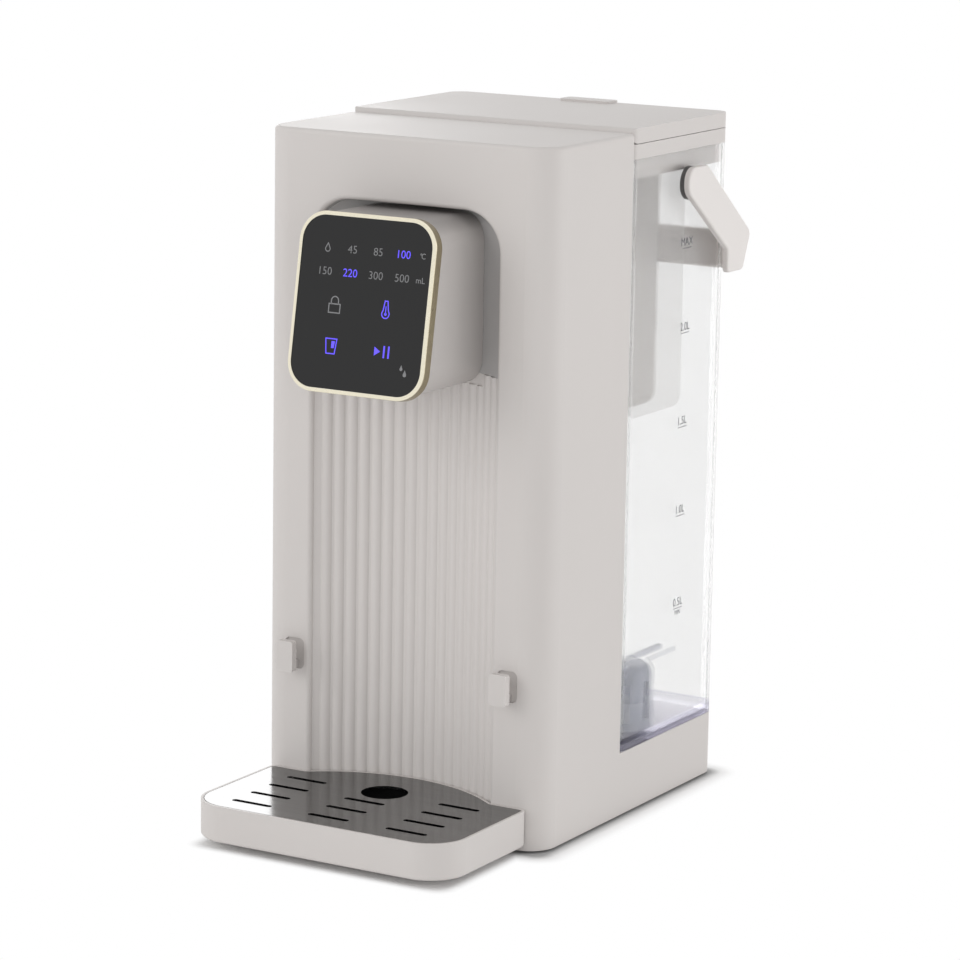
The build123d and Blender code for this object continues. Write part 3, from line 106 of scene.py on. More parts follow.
# Lamps: name, place, aim, size in metres, power in watts, and whether gloss reflects them
LAMPS = (
    ("key", (2.1, 1.2, 0.5), (0.03, 0, 0.12), 1.6, 14.6, True),
    ("fill", (-1.7, -2.1, 1.2), (0, 0, 0.18), 1.8, 22.0, False),
    ("front", (1.4, -2.2, 0.45), (0, 0, 0.15), 1.4, 8.0, False),
    ("top", (0.2, 0.3, 2.2), (0, 0, 0.2), 1.6, 1.0, True),
    ("low left", (-1.9, 2.2, 0.75), (-0.03, -0.1, 0.03), 0.9, 6.0, True),
    ("low right", (0.9, 0.1, 0.12), (0.08, -0.02, 0.0), 0.4, 0.35, False),
)
AMBIENT = 0.62

# The photograph's camera: where it stands, its right, up and back, and its lens
CAMERA_PLACE = (0.87121, -1.4864, 0.49912)
CAMERA_AXES = ((0.863062, 0.504844, 0.016036), (-0.113731, 0.163301, 0.979999),
               (0.492128, -0.847624, 0.198355))
CAMERA_LENS = 146.52


def length_property(name, description, default, low, high):
    """A length that the sidebar shows; its numbers are in millimetres."""
    return bpy.props.FloatProperty(name=name, description=description, default=default * MM,
                                   min=low * MM, max=high * MM, unit="LENGTH")


def colour_property(name, description, *srgb):
    """A colour that the sidebar shows; its default is an sRGB colour of 0 to 255."""
    return bpy.props.FloatVectorProperty(name=name, description=description, default=shade(*srgb),
                                         min=0, max=1, size=3, subtype="COLOR")


class DispenserSizes(bpy.types.PropertyGroup):
    """Sizes of the print, of the valve's spring and of the plastic's grain and worn edges."""

    digit_height: length_property(
        "Digit height", "Height of the digits on the touch glass", 3.6, 1, 10)
    line_width: length_property(
        "Symbol line", "Width of the lines that draw the symbols on the touch glass", 0.5, 0.1, 3)
    mark_height: length_property(
        "Tank mark height", "Height of a line of the litre marks; the figures take 85% of it",
        4.6, 1, 10)
    print_thickness: length_property(
        "Print thickness", "Thickness of the ink on the glass and on the tank", 0.04, 0.01, 1)
    spring_wire: length_property(
        "Spring wire", "Diameter of the wire of the tank valve's spring", 1.0, 0.1, 3)
    spring_turns: bpy.props.IntProperty(
        name="Spring turns", description="Turns of the tank valve's spring",
        default=4, min=1, max=12)
    grain_pitch: length_property(
        "Grain pitch", "Spacing of the fine grain on the moulded plastic", 0.55, 0.1, 10)
    edge_radius: length_property(
        "Edge wear radius", "How far from an edge the plastic is polished by handling",
        0.7, 0.1, 10)


class DispenserColours(bpy.types.PropertyGroup):
    """Colours of the dispenser's finishes."""

    shell: colour_property(
        "Shell", "Warm grey cream plastic of the housing, the lid, its rim and the drip tray",
        209, 204, 201)
    # Painted light: the deck under the tank is paler than the shell's plastic, to lift the shade it
    # lies in.
    deck: colour_property(
        "Deck", "Paler, glossier plastic of the deck under the tank", 236, 234, 236)
    # Painted light: the fluted wall is a touch paler than the shell, to lift the shade in the
    # channel.
    channel: colour_property(
        "Channel", "Plastic of the fluted wall under the head", 212, 207, 204)
    head: colour_property(
        "Head", "Darker plastic of the head's sleeve", 190, 185, 182)
    # Painted shade: the flat top of the head's sleeve takes this darker colour for the shade that
    # falls on it in the recess.
    head_top_shade: colour_property(
        "Head top", "Darker plastic of the flat top of the head's sleeve", 158, 154, 152)
    # The wall behind the head is darker than the shell. This is partly its own colour and partly
    # painted shade for the shade behind the head; the spout shares it.
    recess: colour_property(
        "Recess", "Smooth dark plastic of the wall behind the head, and of the spout",
        180, 178, 177)
    # Painted shade: the pieces behind the drip tray's upper hooks take this darker colour for the
    # shade in the hooks' throats; the prongs share it.
    window: colour_property(
        "Hook windows", "Plastic behind the drip tray's upper hooks, and of its prongs",
        190, 185, 182)
    # Painted shade: the rim's skirt inside the clear wall takes this darker colour for the shade
    # there.
    skirt: colour_property(
        "Rim skirt", "Plastic of the tank rim's skirt inside the clear wall", 190, 185, 182)
    handle: colour_property(
        "Handle", "Paler plastic of the tank's carrying handle", 228, 223, 220)
    ring: colour_property(
        "Ring", "Pale champagne metal of the front of the ring round the glass", 238, 231, 209)
    # Painted shade: the ring's side takes this darker champagne for the shade on it.
    ring_side_shade: colour_property(
        "Ring side", "Darker champagne of the ring's brushed side", 158, 148, 122)
    glass: colour_property(
        "Touch glass", "Black behind the touch glass", 14, 14, 15)
    lit: colour_property(
        "Lit symbols", "Blue violet of the symbols that are lit", 98, 82, 246)
    unlit: colour_property(
        "Unlit symbols", "Grey of the symbols that are not lit", 128, 128, 130)
    tank_floor: colour_property(
        "Tank floor", "Tint of the tank's thick clear floor", 247, 247, 248)
    # Painted shade: the outer edge of the tank's floor takes this lilac grey for the shaded deck
    # seen through it.
    tank_floor_edge_shade: colour_property(
        "Tank floor edge", "Lilac grey seen through the outer edge of the tank's floor",
        225, 224, 232)
    filter_holder: colour_property(
        "Filter holder", "Frosted plastic of the filter funnel", 192, 188, 185)
    steel: colour_property(
        "Steel", "Brushed steel of the drip plate", 178, 178, 178)
    # Painted shade: the well under the drip plate takes this dark colour for the shade there.
    tray_well_shade: colour_property(
        "Tray well", "Dark plastic of the well that catches the drips", 58, 58, 59)


def sizes():
    """The sizes that are set in the sidebar."""
    return bpy.context.scene.dispenser_sizes


def colours():
    """The colours that are set in the sidebar."""
    return bpy.context.scene.dispenser_colours


# The CAD model, and what the scene adds to it


def own_box(name):
    """The lowest and the highest corner of a CAD node, in its own coordinates."""
    corners = cad_nodes[name].bound_box
    return [Vector([pick(corner[axis] for corner in corners) for axis in range(3)])
            for pick in (min, max)]


def own_height(name, height):
    """A height over the table as a height in a CAD node's own coordinates."""
    return own_box(name)[0].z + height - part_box(name)[0].z


def finish(names, material):
    """Give the CAD nodes of these names one material."""
    for name in names:
        node = cad_nodes[name]
        node.data.materials.clear()
        node.data.materials.append(material)


def add_object(name, data):
    """A new object in the scene."""
    thing = bpy.data.objects.new(name, data)
    bpy.context.scene.collection.objects.link(thing)
    return thing


def mesh_object(bm, name, material):
    """A new object of that material, made of what was drawn or wound."""
    mesh = bpy.data.meshes.new(name)
    bm.to_mesh(mesh)
    bm.free()
    mesh.materials.append(material)
    return add_object(name, mesh)


def axes_at(place, right, up, outward):
    """The matrix that stands at a place and turns X, Y and Z to three directions."""
    turn = Matrix((Vector(right), Vector(up), Vector(outward))).transposed().to_4x4()
    return Matrix.Translation(place) @ turn


# Shader nodes


def feed(tree, value, socket):
    """Link an output to an input, or set the input to a plain number, vector or colour."""
    if isinstance(value, bpy.types.NodeSocket):
        tree.links.new(value, socket)
    elif socket.type == "RGBA":
        socket.default_value = (*value[:3], 1)
    else:
        socket.default_value = value


def math_node(tree, operation, first, second):
    """A Math node; each operand is an output or a number."""
    node = tree.nodes.new("ShaderNodeMath")
    node.operation = operation
    feed(tree, first, node.inputs[0])
    feed(tree, second, node.inputs[1])
    return node.outputs[0]


def vector_math(tree, operation, first, second=None):
    """A Vector Math node; each operand is an output or a plain vector."""
    node = tree.nodes.new("ShaderNodeVectorMath")
    node.operation = operation
    feed(tree, first, node.inputs[0])
    if second is not None:
        feed(tree, second, node.inputs[1])
    return node.outputs["Value" if operation in ("LENGTH", "DOT_PRODUCT") else "Vector"]


def mix_colour(tree, factor, first, second):
    """A colour mix; the factor and the colours are outputs or plain values."""
    node = tree.nodes.new("ShaderNodeMix")
    node.data_type = "RGBA"
    for index, value in ((0, factor), (6, first), (7, second)):
        feed(tree, value, node.inputs[index])
    return node.outputs[2]


def ranged(tree, value, low, high, new_low, new_high):
    """Map a value from one range to another, clamped; the ends are outputs or numbers."""
    node = tree.nodes.new("ShaderNodeMapRange")
    feed(tree, value, node.inputs["Value"])
    ends = {"From Min": low, "From Max": high, "To Min": new_low, "To Max": new_high}
    for label, end in ends.items():
        feed(tree, end, node.inputs[label])
    return node.outputs["Result"]


def object_place(tree):
    """Where each point lies on its own piece."""
    return tree.nodes.new("ShaderNodeTexCoord").outputs["Object"]


def upright(tree, vector):
    """The Z part of a place or a normal."""
    node = tree.nodes.new("ShaderNodeSeparateXYZ")
    feed(tree, vector, node.inputs[0])
    return node.outputs["Z"]


def surface_normal(tree):
    """Which way the surface faces in the scene."""
    return tree.nodes.new("ShaderNodeNewGeometry").outputs["Normal"]


def noise(tree, place, scale, detail):
    """A noise pattern; its scale is an output or a number."""
    node = tree.nodes.new("ShaderNodeTexNoise")
    node.inputs["Detail"].default_value = detail
    feed(tree, place, node.inputs["Vector"])
    feed(tree, scale, node.inputs["Scale"])
    return node.outputs["Fac"]


def spread(tree, pattern, low, high):
    """Stretch the middle of a noise pattern, where most of it lies, over a range."""
    return ranged(tree, pattern, 0.3, 0.7, low, high)


def outline_distance(tree, place, low, high, inset):
    """How far a place lies outside a rectangle seen from above, its sides moved in by the inset."""
    centre = ((low[0] + high[0]) / 2, (low[1] + high[1]) / 2, 0)
    half = ((high[0] - low[0]) / 2 - inset, (high[1] - low[1]) / 2 - inset, 0)
    steps = (("MULTIPLY", (1, 1, 0)), ("SUBTRACT", centre), ("ABSOLUTE", None), ("SUBTRACT", half),
             ("MAXIMUM", (0, 0, 0)), ("LENGTH", None))
    for operation, operand in steps:
        place = vector_math(tree, operation, place, operand)
    return place


def rays(tree, kinds):
    """1 for light paths of any of these kinds, and 0 for others."""
    paths = tree.nodes.new("ShaderNodeLightPath")
    first, *others = [paths.outputs[f"Is {kind} Ray"] for kind in kinds]
    for other in others:
        first = math_node(tree, "MAXIMUM", first, other)
    return first


def mix_shader(tree, factor, other):
    """Mix another shader over the material's Principled one, by a factor."""
    mix = tree.nodes.new("ShaderNodeMixShader")
    shader = tree.nodes["Principled BSDF"]
    for value, socket in zip((factor, shader.outputs[0], other.outputs[0]), mix.inputs):
        feed(tree, value, socket)
    feed(tree, mix.outputs["Shader"], tree.nodes["Material Output"].inputs["Surface"])


# Shared effects

FLOAT, COLOUR = "NodeSocketFloat", "NodeSocketColor"


def new_group(name, inputs, outputs):
    """A shader node group: (group, what it is given, what it results in).

    Its inputs are (name, type, default) and its outputs are (name, type).
    """
    group = bpy.data.node_groups.new(name, "ShaderNodeTree")
    for label, kind, default in inputs:
        socket = group.interface.new_socket(label, in_out="INPUT", socket_type=kind)
        socket.default_value = default
    for label, kind in outputs:
        group.interface.new_socket(label, in_out="OUTPUT", socket_type=kind)
    given = group.nodes.new("NodeGroupInput").outputs
    result = group.nodes.new("NodeGroupOutput").inputs
    return group, given, result


def make_edge_wear():
    """Group: a mask that is high along the solid's edges, broken up by noise."""
    group, given, result = new_group(
        "edge_wear",
        [("Radius", FLOAT, 0.7 * MM), ("Break Up", FLOAT, 60.0)],
        [("Mask", FLOAT)])
    bevel = group.nodes.new("ShaderNodeBevel")
    bevel.samples = 4
    feed(group, given["Radius"], bevel.inputs["Radius"])
    turn = vector_math(group, "DOT_PRODUCT", bevel.outputs["Normal"], surface_normal(group))
    edge = ranged(group, turn, 0.995, 0.82, 0.0, 1.0)
    patches = noise(group, object_place(group), given["Break Up"], 3)
    broken = ranged(group, patches, 0.35, 0.65, 0.35, 1.0)
    feed(group, math_node(group, "MULTIPLY", edge, broken), result["Mask"])
    return group


def make_moulded_grain():
    """Group: fine pebbled height and slow blotches of tone and gloss, as on moulded plastic."""
    group, given, result = new_group(
        "moulded_grain",
        [("Colour", COLOUR, (0.8, 0.8, 0.8, 1)), ("Grain Scale", FLOAT, 1800.0),
         ("Tone", FLOAT, 0.04), ("Gloss Low", FLOAT, 0.38), ("Gloss High", FLOAT, 0.5)],
        [("Colour", COLOUR), ("Roughness", FLOAT), ("Height", FLOAT)])
    place = object_place(group)
    grain = group.nodes.new("ShaderNodeTexVoronoi")
    grain.feature = "SMOOTH_F1"
    feed(group, place, grain.inputs["Vector"])
    feed(group, given["Grain Scale"], grain.inputs["Scale"])
    feed(group, grain.outputs["Distance"], result["Height"])
    cloud = noise(group, place, 9, 4)
    darkest = math_node(group, "SUBTRACT", 1.0, given["Tone"])
    toned = vector_math(group, "SCALE", given["Colour"])
    feed(group, spread(group, cloud, darkest, 1.0), toned.node.inputs["Scale"])
    feed(group, toned, result["Colour"])
    feed(group, spread(group, cloud, given["Gloss Low"], given["Gloss High"]), result["Roughness"])
    return group


def make_brushed():
    """Group: fine straight scratches along X, for sheet metal; Tone is 0 where they are dark."""
    group, given, result = new_group(
        "brushed_lines",
        [("Line Scale", FLOAT, 900.0), ("Gloss Low", FLOAT, 0.25), ("Gloss High", FLOAT, 0.42)],
        [("Roughness", FLOAT), ("Height", FLOAT), ("Tone", FLOAT)])
    stretched = vector_math(group, "MULTIPLY", object_place(group), (0.012, 1.0, 1.0))
    lines = noise(group, stretched, given["Line Scale"], 5)
    feed(group, spread(group, lines, given["Gloss Low"], given["Gloss High"]), result["Roughness"])
    feed(group, lines, result["Height"])
    feed(group, spread(group, lines, 0.0, 1.0), result["Tone"])
    return group


def shared(name):
    """The shared effect of that name, made on first use."""
    makers = {"edge_wear": make_edge_wear, "moulded_grain": make_moulded_grain,
              "brushed_lines": make_brushed}
    return bpy.data.node_groups.get(name) or makers[name]()


def place_group(tree, name, **values):
    """Put a shared effect into a material with its own values, and give its outputs."""
    node = tree.nodes.new("ShaderNodeGroup")
    node.node_tree = shared(name)
    for label, value in values.items():
        feed(tree, value, node.inputs[label.replace("_", " ")])
    return node.outputs


# Materials


def new_material(name):
    """A material with one Principled shader, and its node tree."""
    material = bpy.data.materials.new(name)
    material.use_nodes = True
    return material, material.node_tree


def principled(tree):
    """The inputs of the material's Principled shader."""
    return tree.nodes["Principled BSDF"].inputs


def dress(tree, colour, roughness, height=None, depth=0.0):
    """Feed a colour and a roughness to the shader, and a height as bumps of that depth."""
    shader = principled(tree)
    feed(tree, colour, shader["Base Color"])
    feed(tree, roughness, shader["Roughness"])
    if height is not None:
        bump = tree.nodes.new("ShaderNodeBump")
        bump.inputs["Distance"].default_value = depth
        feed(tree, height, bump.inputs["Height"])
        feed(tree, bump.outputs["Normal"], shader["Normal"])


def paint_over(material, mask, colour):
    """Lay another colour over a material's own where the mask is 1."""
    tree = material.node_tree
    base = principled(tree)["Base Color"]
    feed(tree, mix_colour(tree, mask, base.links[0].from_socket, colour), base)


def moulded_plastic(name, colour, gloss=(0.38, 0.5), tone=0.03, wear=0.35):
    """Satin moulded plastic with a fine grain, slow blotches and lighter handled edges."""
    material, tree = new_material(name)
    grain = place_group(tree, "moulded_grain", Colour=colour, Grain_Scale=1 / sizes().grain_pitch,
                        Tone=tone, Gloss_Low=gloss[0], Gloss_High=gloss[1])
    edge = place_group(tree, "edge_wear", Radius=sizes().edge_radius, Break_Up=70.0)
    lighter = [c + (1 - c) * WORN for c in colour]
    factor = math_node(tree, "MULTIPLY", edge["Mask"], wear)
    worn = mix_colour(tree, factor, grain["Colour"], lighter)
    dress(tree, worn, grain["Roughness"], grain["Height"], 0.006 * MM)
    return material


def rubber(name, colour, rough=0.75):
    """Matte rubber or silicone with a slightly uneven surface."""
    material, tree = new_material(name)
    grain = place_group(tree, "moulded_grain", Colour=colour, Grain_Scale=900.0, Tone=0.12,
                        Gloss_Low=rough - 0.1, Gloss_High=rough)
    dress(tree, grain["Colour"], grain["Roughness"], grain["Height"], 0.02 * MM)
    return material


def brushed_metal(name, colour, gloss=(0.25, 0.42), scale=900.0):
    """Brushed sheet metal whose lines run along X, with brighter edges."""
    material, tree = new_material(name)
    brush = place_group(tree, "brushed_lines", Line_Scale=scale,
                        Gloss_Low=gloss[0], Gloss_High=gloss[1])
    edge = place_group(tree, "edge_wear", Radius=0.4 * MM, Break_Up=200.0)
    darker = [c * SCRATCH for c in colour]
    base = mix_colour(tree, brush["Tone"], darker, colour)
    factor = math_node(tree, "MULTIPLY", edge["Mask"], 0.4)
    worn = mix_colour(tree, factor, base, (0.9, 0.9, 0.9))
    dress(tree, worn, brush["Roughness"], brush["Height"], 0.004 * MM)
    principled(tree)["Metallic"].default_value = 1.0
    return material


def clear_plastic(name, colour, rough=0.02, straight=0.5):
    """Clear moulded plastic with faint flow marks, which lets lamp light through to what is inside.

    The straight share of what is seen through it isn't bent, as in a thin wall.
    """
    material, tree = new_material(name)
    flow = noise(tree, object_place(tree), 14, 2)
    dress(tree, colour, spread(tree, flow, rough * 0.5, rough * 2), flow, 0.15 * MM)
    principled(tree)["Transmission Weight"].default_value = 1.0
    principled(tree)["IOR"].default_value = 1.25
    clear = tree.nodes.new("ShaderNodeBsdfTransparent")
    feed(tree, colour, clear.inputs["Color"])
    factor = math_node(tree, "MAXIMUM", rays(tree, ("Shadow", "Diffuse")), straight)
    mix_shader(tree, factor, clear)
    return material


def ink(name, colour, light=0.0):
    """Printed ink; that of a lit symbol gives a little light of its own."""
    material, tree = new_material(name)
    dress(tree, colour, 0.4)
    feed(tree, colour, principled(tree)["Emission Color"])
    principled(tree)["Emission Strength"].default_value = light
    return material


# Print: each sheet is drawn flat in millimetres and then laid on its surface


def stroke(bm, points, width, closed=False):
    """Draw a flat line of that width through points, with mitred corners."""
    places = [Vector((*point, 0)) for point in points]
    count = len(places)
    pairs = []
    for index, here in enumerate(places):
        come = go = None
        if closed or index > 0:
            come = (here - places[index - 1]).normalized()
        if closed or index < count - 1:
            go = (places[(index + 1) % count] - here).normalized()
        come = come or go
        go = go or come
        side = Vector((-(come + go).y, (come + go).x, 0)).normalized()
        mitre = 1 / max(side.dot(Vector((-come.y, come.x, 0))), MITRE_LIMIT)
        pairs.append((bm.verts.new(here + side * width / 2 * mitre),
                      bm.verts.new(here - side * width / 2 * mitre)))
    for index in range(count if closed else count - 1):
        first, second = pairs[index], pairs[(index + 1) % count]
        bm.faces.new((first[0], first[1], second[1], second[0]))


def patch(bm, points):
    """Draw a filled flat shape."""
    bm.faces.new([bm.verts.new((x, y, 0)) for x, y in points])


def arc(cx, cy, radius, start, end, steps):
    """Points on an arc, its angles in degrees."""
    turn = [math.radians(start + (end - start) * i / steps) for i in range(steps + 1)]
    return [(cx + radius * math.cos(a), cy + radius * math.sin(a)) for a in turn]


def drop_shape(cx, cy, width, height):
    """The outline of a drop with its point up."""
    radius = width / 2
    return [(cx, cy + height / 2), *arc(cx, cy - height / 2 + radius, radius, 150, 390, 14)]


def draw_lock(bm, line):
    """A padlock."""
    stroke(bm, [(-2.8, -3.5), (2.8, -3.5), (2.8, 0.3), (-2.8, 0.3)], line, closed=True)
    bow = arc(0, 1.7, 1.8, 180, 0, 14)[1:-1]
    stroke(bm, [(-1.8, 0.3), (-1.8, 1.6), *bow, (1.8, 1.6), (1.8, 0.3)], line)


def draw_thermometer(bm, line):
    """A thermometer with its bulb filled."""
    bulb = arc(0, -1.7, 1.85, 40, -220, 18)
    stroke(bm, [(-0.7, 3.8), (0.7, 3.8), (1.2, 0.4), *bulb, (-1.2, 0.4)], line, closed=True)
    stroke(bm, [(0, 1.6), (0, -1.6)], line * 0.9)
    patch(bm, arc(0, -1.8, 0.65, 0, 330, 11))


def draw_cup(bm, line):
    """A cup with its right half filled."""
    stroke(bm, [(-2.8, 3.2), (2.8, 3.2), (2.1, -3.2), (-2.1, -3.2)], line, closed=True)
    patch(bm, [(0.2, 2.2), (1.9, 2.2), (1.55, -0.8), (0.2, -0.8)])


def draw_play(bm, line):
    """A triangle and two bars."""
    patch(bm, [(-3.9, -1.9), (-3.9, 1.9), (-1.0, 0)])
    for x in (0.9, 3.2):
        stroke(bm, [(x, -2.6), (x, 2.6)], line * 1.6)


def draw_drop(bm, line):
    """One drop in outline."""
    stroke(bm, drop_shape(0, 0, 2.3, 3.6), line * 0.8, closed=True)


def draw_two_drops(bm, line):
    """Two filled drops."""
    patch(bm, drop_shape(-1.0, 1.1, 1.4, 2.5))
    patch(bm, drop_shape(0.95, -1.1, 1.7, 3.0))


def draw_degrees(bm, line):
    """The sign for degrees Celsius."""
    stroke(bm, arc(-0.9, 0.75, 0.32, 0, 330, 11), line * 0.5, closed=True)
    stroke(bm, arc(0.6, 0, 1.05, 50, 310, 14), line * 0.7)


def add_text(bm, words, height, x, y, weight=0.0):
    """Draw words centred on a point, their capitals of that height; weight thickens the strokes."""
    curve = bpy.data.curves.new("words", "FONT")
    curve.body = words
    curve.size = height / CAPITALS
    curve.offset = weight
    curve.resolution_u = 3
    holder = add_object("words", curve)
    bpy.context.view_layer.update()
    graph = bpy.context.evaluated_depsgraph_get()
    mesh = bpy.data.meshes.new_from_object(holder.evaluated_get(graph))
    xs = [v.co.x for v in mesh.vertices]
    ys = [v.co.y for v in mesh.vertices]
    shift = Vector((x - (min(xs) + max(xs)) / 2, y - (min(ys) + max(ys)) / 2, 0))
    mesh.transform(Matrix.Translation(shift))
    bm.from_mesh(mesh)
    bpy.data.objects.remove(holder)
    bpy.data.meshes.remove(mesh)
    bpy.data.curves.remove(curve)


def print_sheet(bm, name, surface, material, body):
    """Turn a drawing into thin ink that lies on a surface and rides on a body."""
    bmesh.ops.recalc_face_normals(bm, faces=bm.faces)
    for face in bm.faces:
        if face.normal.z < 0:
            face.normal_flip()
    piece = mesh_object(bm, name, material)
    piece.data.transform(Matrix.Scale(MM, 4))
    thickness = piece.modifiers.new("ink thickness", "SOLIDIFY")
    thickness.thickness = sizes().print_thickness
    thickness.offset = 1.0
    piece.matrix_world = surface
    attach(piece, body)


def glass_surface():
    """The touch glass: origin in its middle, X to the right and Y up the slanted face."""
    low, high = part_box("touch_glass")
    up = Vector((0, math.sin(GLASS_SLANT), math.cos(GLASS_SLANT)))
    outward = Vector((0, -math.cos(GLASS_SLANT), math.sin(GLASS_SLANT)))
    return axes_at((low + high) / 2 + outward * (GLASS_HALF + INK_GAP), (1, 0, 0), up, outward)


class DISPENSER_OT_housing(bpy.types.Operator):
    """Give the housing, its base and its covers their moulded plastic"""

    bl_idname = "dispenser.housing"
    bl_label = "Housing"

    def execute(self, context):
        c = colours()
        shell = moulded_plastic("shell plastic", c.shell)
        finish(["body_shell", "rear_panel", "bottom_plate", "tray_hooks"], shell)
        # Painted light: a paler copy of the shell's plastic lifts the shade on the deck under the
        # tank.
        deck = moulded_plastic("deck plastic", c.deck, gloss=(0.3, 0.4))
        finish(["base_deck"], deck)
        # Painted light: a paler plastic lifts the shade inside the fluted channel.
        channel = moulded_plastic("channel plastic", c.channel, gloss=(0.34, 0.44))
        finish(["channel_panel"], channel)
        # Partly painted shade: the darker plastic behind the head also stands in for the shade
        # there.
        recess = moulded_plastic("recess plastic", c.recess, gloss=(0.4, 0.5))
        finish(["head_mount_plate"], recess)
        # Painted shade: the hook windows get the darker colour for the shade behind the hooks.
        window = moulded_plastic("window plastic", c.window, gloss=(0.4, 0.5))
        finish(["hook_windows", "tray_prongs"], window)
        finish(["rubber_feet"], rubber("foot rubber", NEAR_BLACK))
        gland = moulded_plastic("black plastic", NEAR_BLACK, wear=0.1)
        finish(["cord_gland"], gland)
        return {"FINISHED"}


class DISPENSER_OT_head(bpy.types.Operator):
    """Give the head its sleeve, champagne ring, black glass and spout"""

    bl_idname = "dispenser.head"
    bl_label = "Head"

    def execute(self, context):
        c = colours()
        finish(["head_shell"], self.head_plastic(c))
        finish(["bezel_ring"], self.champagne_metal(c))
        finish(["touch_glass"], self.black_glass(c))
        spout = moulded_plastic("spout plastic", c.recess, gloss=(0.3, 0.4))
        finish(["spout_nozzle"], spout)
        return {"FINISHED"}

    def head_plastic(self, c):
        """Satin plastic of the sleeve, with painted shade on its flat top: a darker colour where
        the surface faces up.
        """
        material = moulded_plastic("head plastic", c.head, gloss=(0.36, 0.46))
        tree = material.node_tree
        # Painted shade: where the surface faces up, the darker top colour is laid over the sleeve's
        # own.
        upward = ranged(tree, upright(tree, surface_normal(tree)), 0.5, 0.9, 0.0, 1.0)
        paint_over(material, upward, c.head_top_shade)
        return material

    def champagne_metal(self, c):
        """Satin champagne metal, polished on the front, with painted shade: a darker colour on the
        side, where the surface turns away from the glass's front.
        """
        material, tree = new_material("champagne ring")
        grain = place_group(tree, "moulded_grain", Colour=c.ring, Grain_Scale=2600.0, Tone=0.05,
                            Gloss_Low=0.24, Gloss_High=0.32)
        edge = place_group(tree, "edge_wear", Radius=0.5 * MM, Break_Up=150.0)
        factor = math_node(tree, "MULTIPLY", edge["Mask"], 0.5)
        front = mix_colour(tree, factor, grain["Colour"], (0.95, 0.93, 0.88))
        outward = glass_surface().col[2].to_3d()
        # Painted shade: surfaces that turn away from the glass's front take the darker side colour.
        facing = vector_math(tree, "DOT_PRODUCT", surface_normal(tree), outward)
        front_unshaded = ranged(tree, facing, 0.15, 0.6, 0.0, 1.0)
        base = mix_colour(tree, front_unshaded, c.ring_side_shade, front)
        dress(tree, base, grain["Roughness"], grain["Height"], 0.003 * MM)
        principled(tree)["Metallic"].default_value = 0.85
        return material

    def black_glass(self, c):
        """Black glass with faint smudges in its gloss."""
        material, tree = new_material("touch glass")
        smudge = place_group(tree, "moulded_grain", Colour=c.glass, Grain_Scale=300.0, Tone=0.1,
                             Gloss_Low=0.05, Gloss_High=0.12)
        dress(tree, smudge["Colour"], smudge["Roughness"])
        principled(tree)["Specular IOR Level"].default_value = 0.42
        return material


class DISPENSER_OT_panel_symbols(bpy.types.Operator):
    """Print the temperatures, amounts and symbols on the touch glass"""

    bl_idname = "dispenser.panel_symbols"
    bl_label = "Panel symbols"

    def execute(self, context):
        c = colours()
        line = sizes().line_width / MM
        height = sizes().digit_height / MM
        surface = glass_surface()
        lit = ink("lit symbols", c.lit, 0.42)
        unlit = ink("unlit symbols", c.unlit)
        columns = (-19.5, -7.1, 5.8, 18.8, 28.0)
        upper, lower, middle, low = 23.3, 13.2, -0.9, -18.7

        dim = bmesh.new()
        for words, column, y in (("45", 1, upper), ("85", 2, upper),
                                 ("150", 0, lower), ("300", 2, lower), ("500", 3, lower)):
            add_text(dim, words, height, columns[column], y, weight=-0.02)
        add_text(dim, "mL", height * 0.74, columns[4], lower - 0.2)
        print_sheet(dim, "panel_digits", surface, unlit, "base_unit")

        bright = bmesh.new()
        add_text(bright, "100", height, columns[3], upper)
        add_text(bright, "220", height, columns[1], lower)
        print_sheet(bright, "panel_digits_lit", surface, lit, "base_unit")

        symbols = (
            ("panel_drop", draw_drop, columns[0], upper, unlit),
            ("panel_degrees", draw_degrees, columns[4], upper, unlit),
            ("panel_lock", draw_lock, -13.3, middle, unlit),
            ("panel_thermometer", draw_thermometer, 12.4, middle, lit),
            ("panel_cup", draw_cup, -13.2, low, lit),
            ("panel_play", draw_play, 12.6, low, lit),
            ("panel_two_drops", draw_two_drops, 23.8, -25.7, unlit),
        )
        for name, draw, x, y, material in symbols:
            bm = bmesh.new()
            draw(bm, line)
            bmesh.ops.translate(bm, verts=bm.verts, vec=(x, y, 0))
            print_sheet(bm, name, surface, material, "base_unit")
        return {"FINISHED"}


class DISPENSER_OT_drip_tray(bpy.types.Operator):
    """Give the drip tray its plastic and the drip plate its brushed steel"""

    bl_idname = "dispenser.drip_tray"
    bl_label = "Drip tray"

    def execute(self, context):
        c = colours()
        finish(["drip_tray"], self.tray_plastic(c))
        plate = brushed_metal("brushed plate", c.steel, gloss=(0.1, 0.2))
        principled(plate.node_tree)["Specular Tint"].default_value = (0.55, 0.55, 0.55, 1)
        finish(["drip_plate"], plate)
        return {"FINISHED"}

    def tray_plastic(self, c):
        """The shell's plastic outside, with painted shade: a dark colour in the well under the
        plate.
        """
        material = moulded_plastic("tray plastic", c.shell)
        tree = material.node_tree
        place = object_place(tree)
        low, high = own_box("drip_tray")
        # Painted shade: inside the tray's walls, between its floor and the plate, the dark well
        # colour is laid over.
        distance = outline_distance(tree, place, low, high, TRAY_CORNER)
        well = math_node(tree, "LESS_THAN", distance, TRAY_CORNER - TRAY_WALL)
        height = upright(tree, place)
        under_plate = own_height("drip_tray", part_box("drip_plate")[0].z) - 0.2 * MM
        for operation, limit in (("GREATER_THAN", low.z + 1 * MM), ("LESS_THAN", under_plate)):
            inside = math_node(tree, operation, height, limit)
            well = math_node(tree, "MULTIPLY", well, inside)
        paint_over(material, well, c.tray_well_shade)
        return material


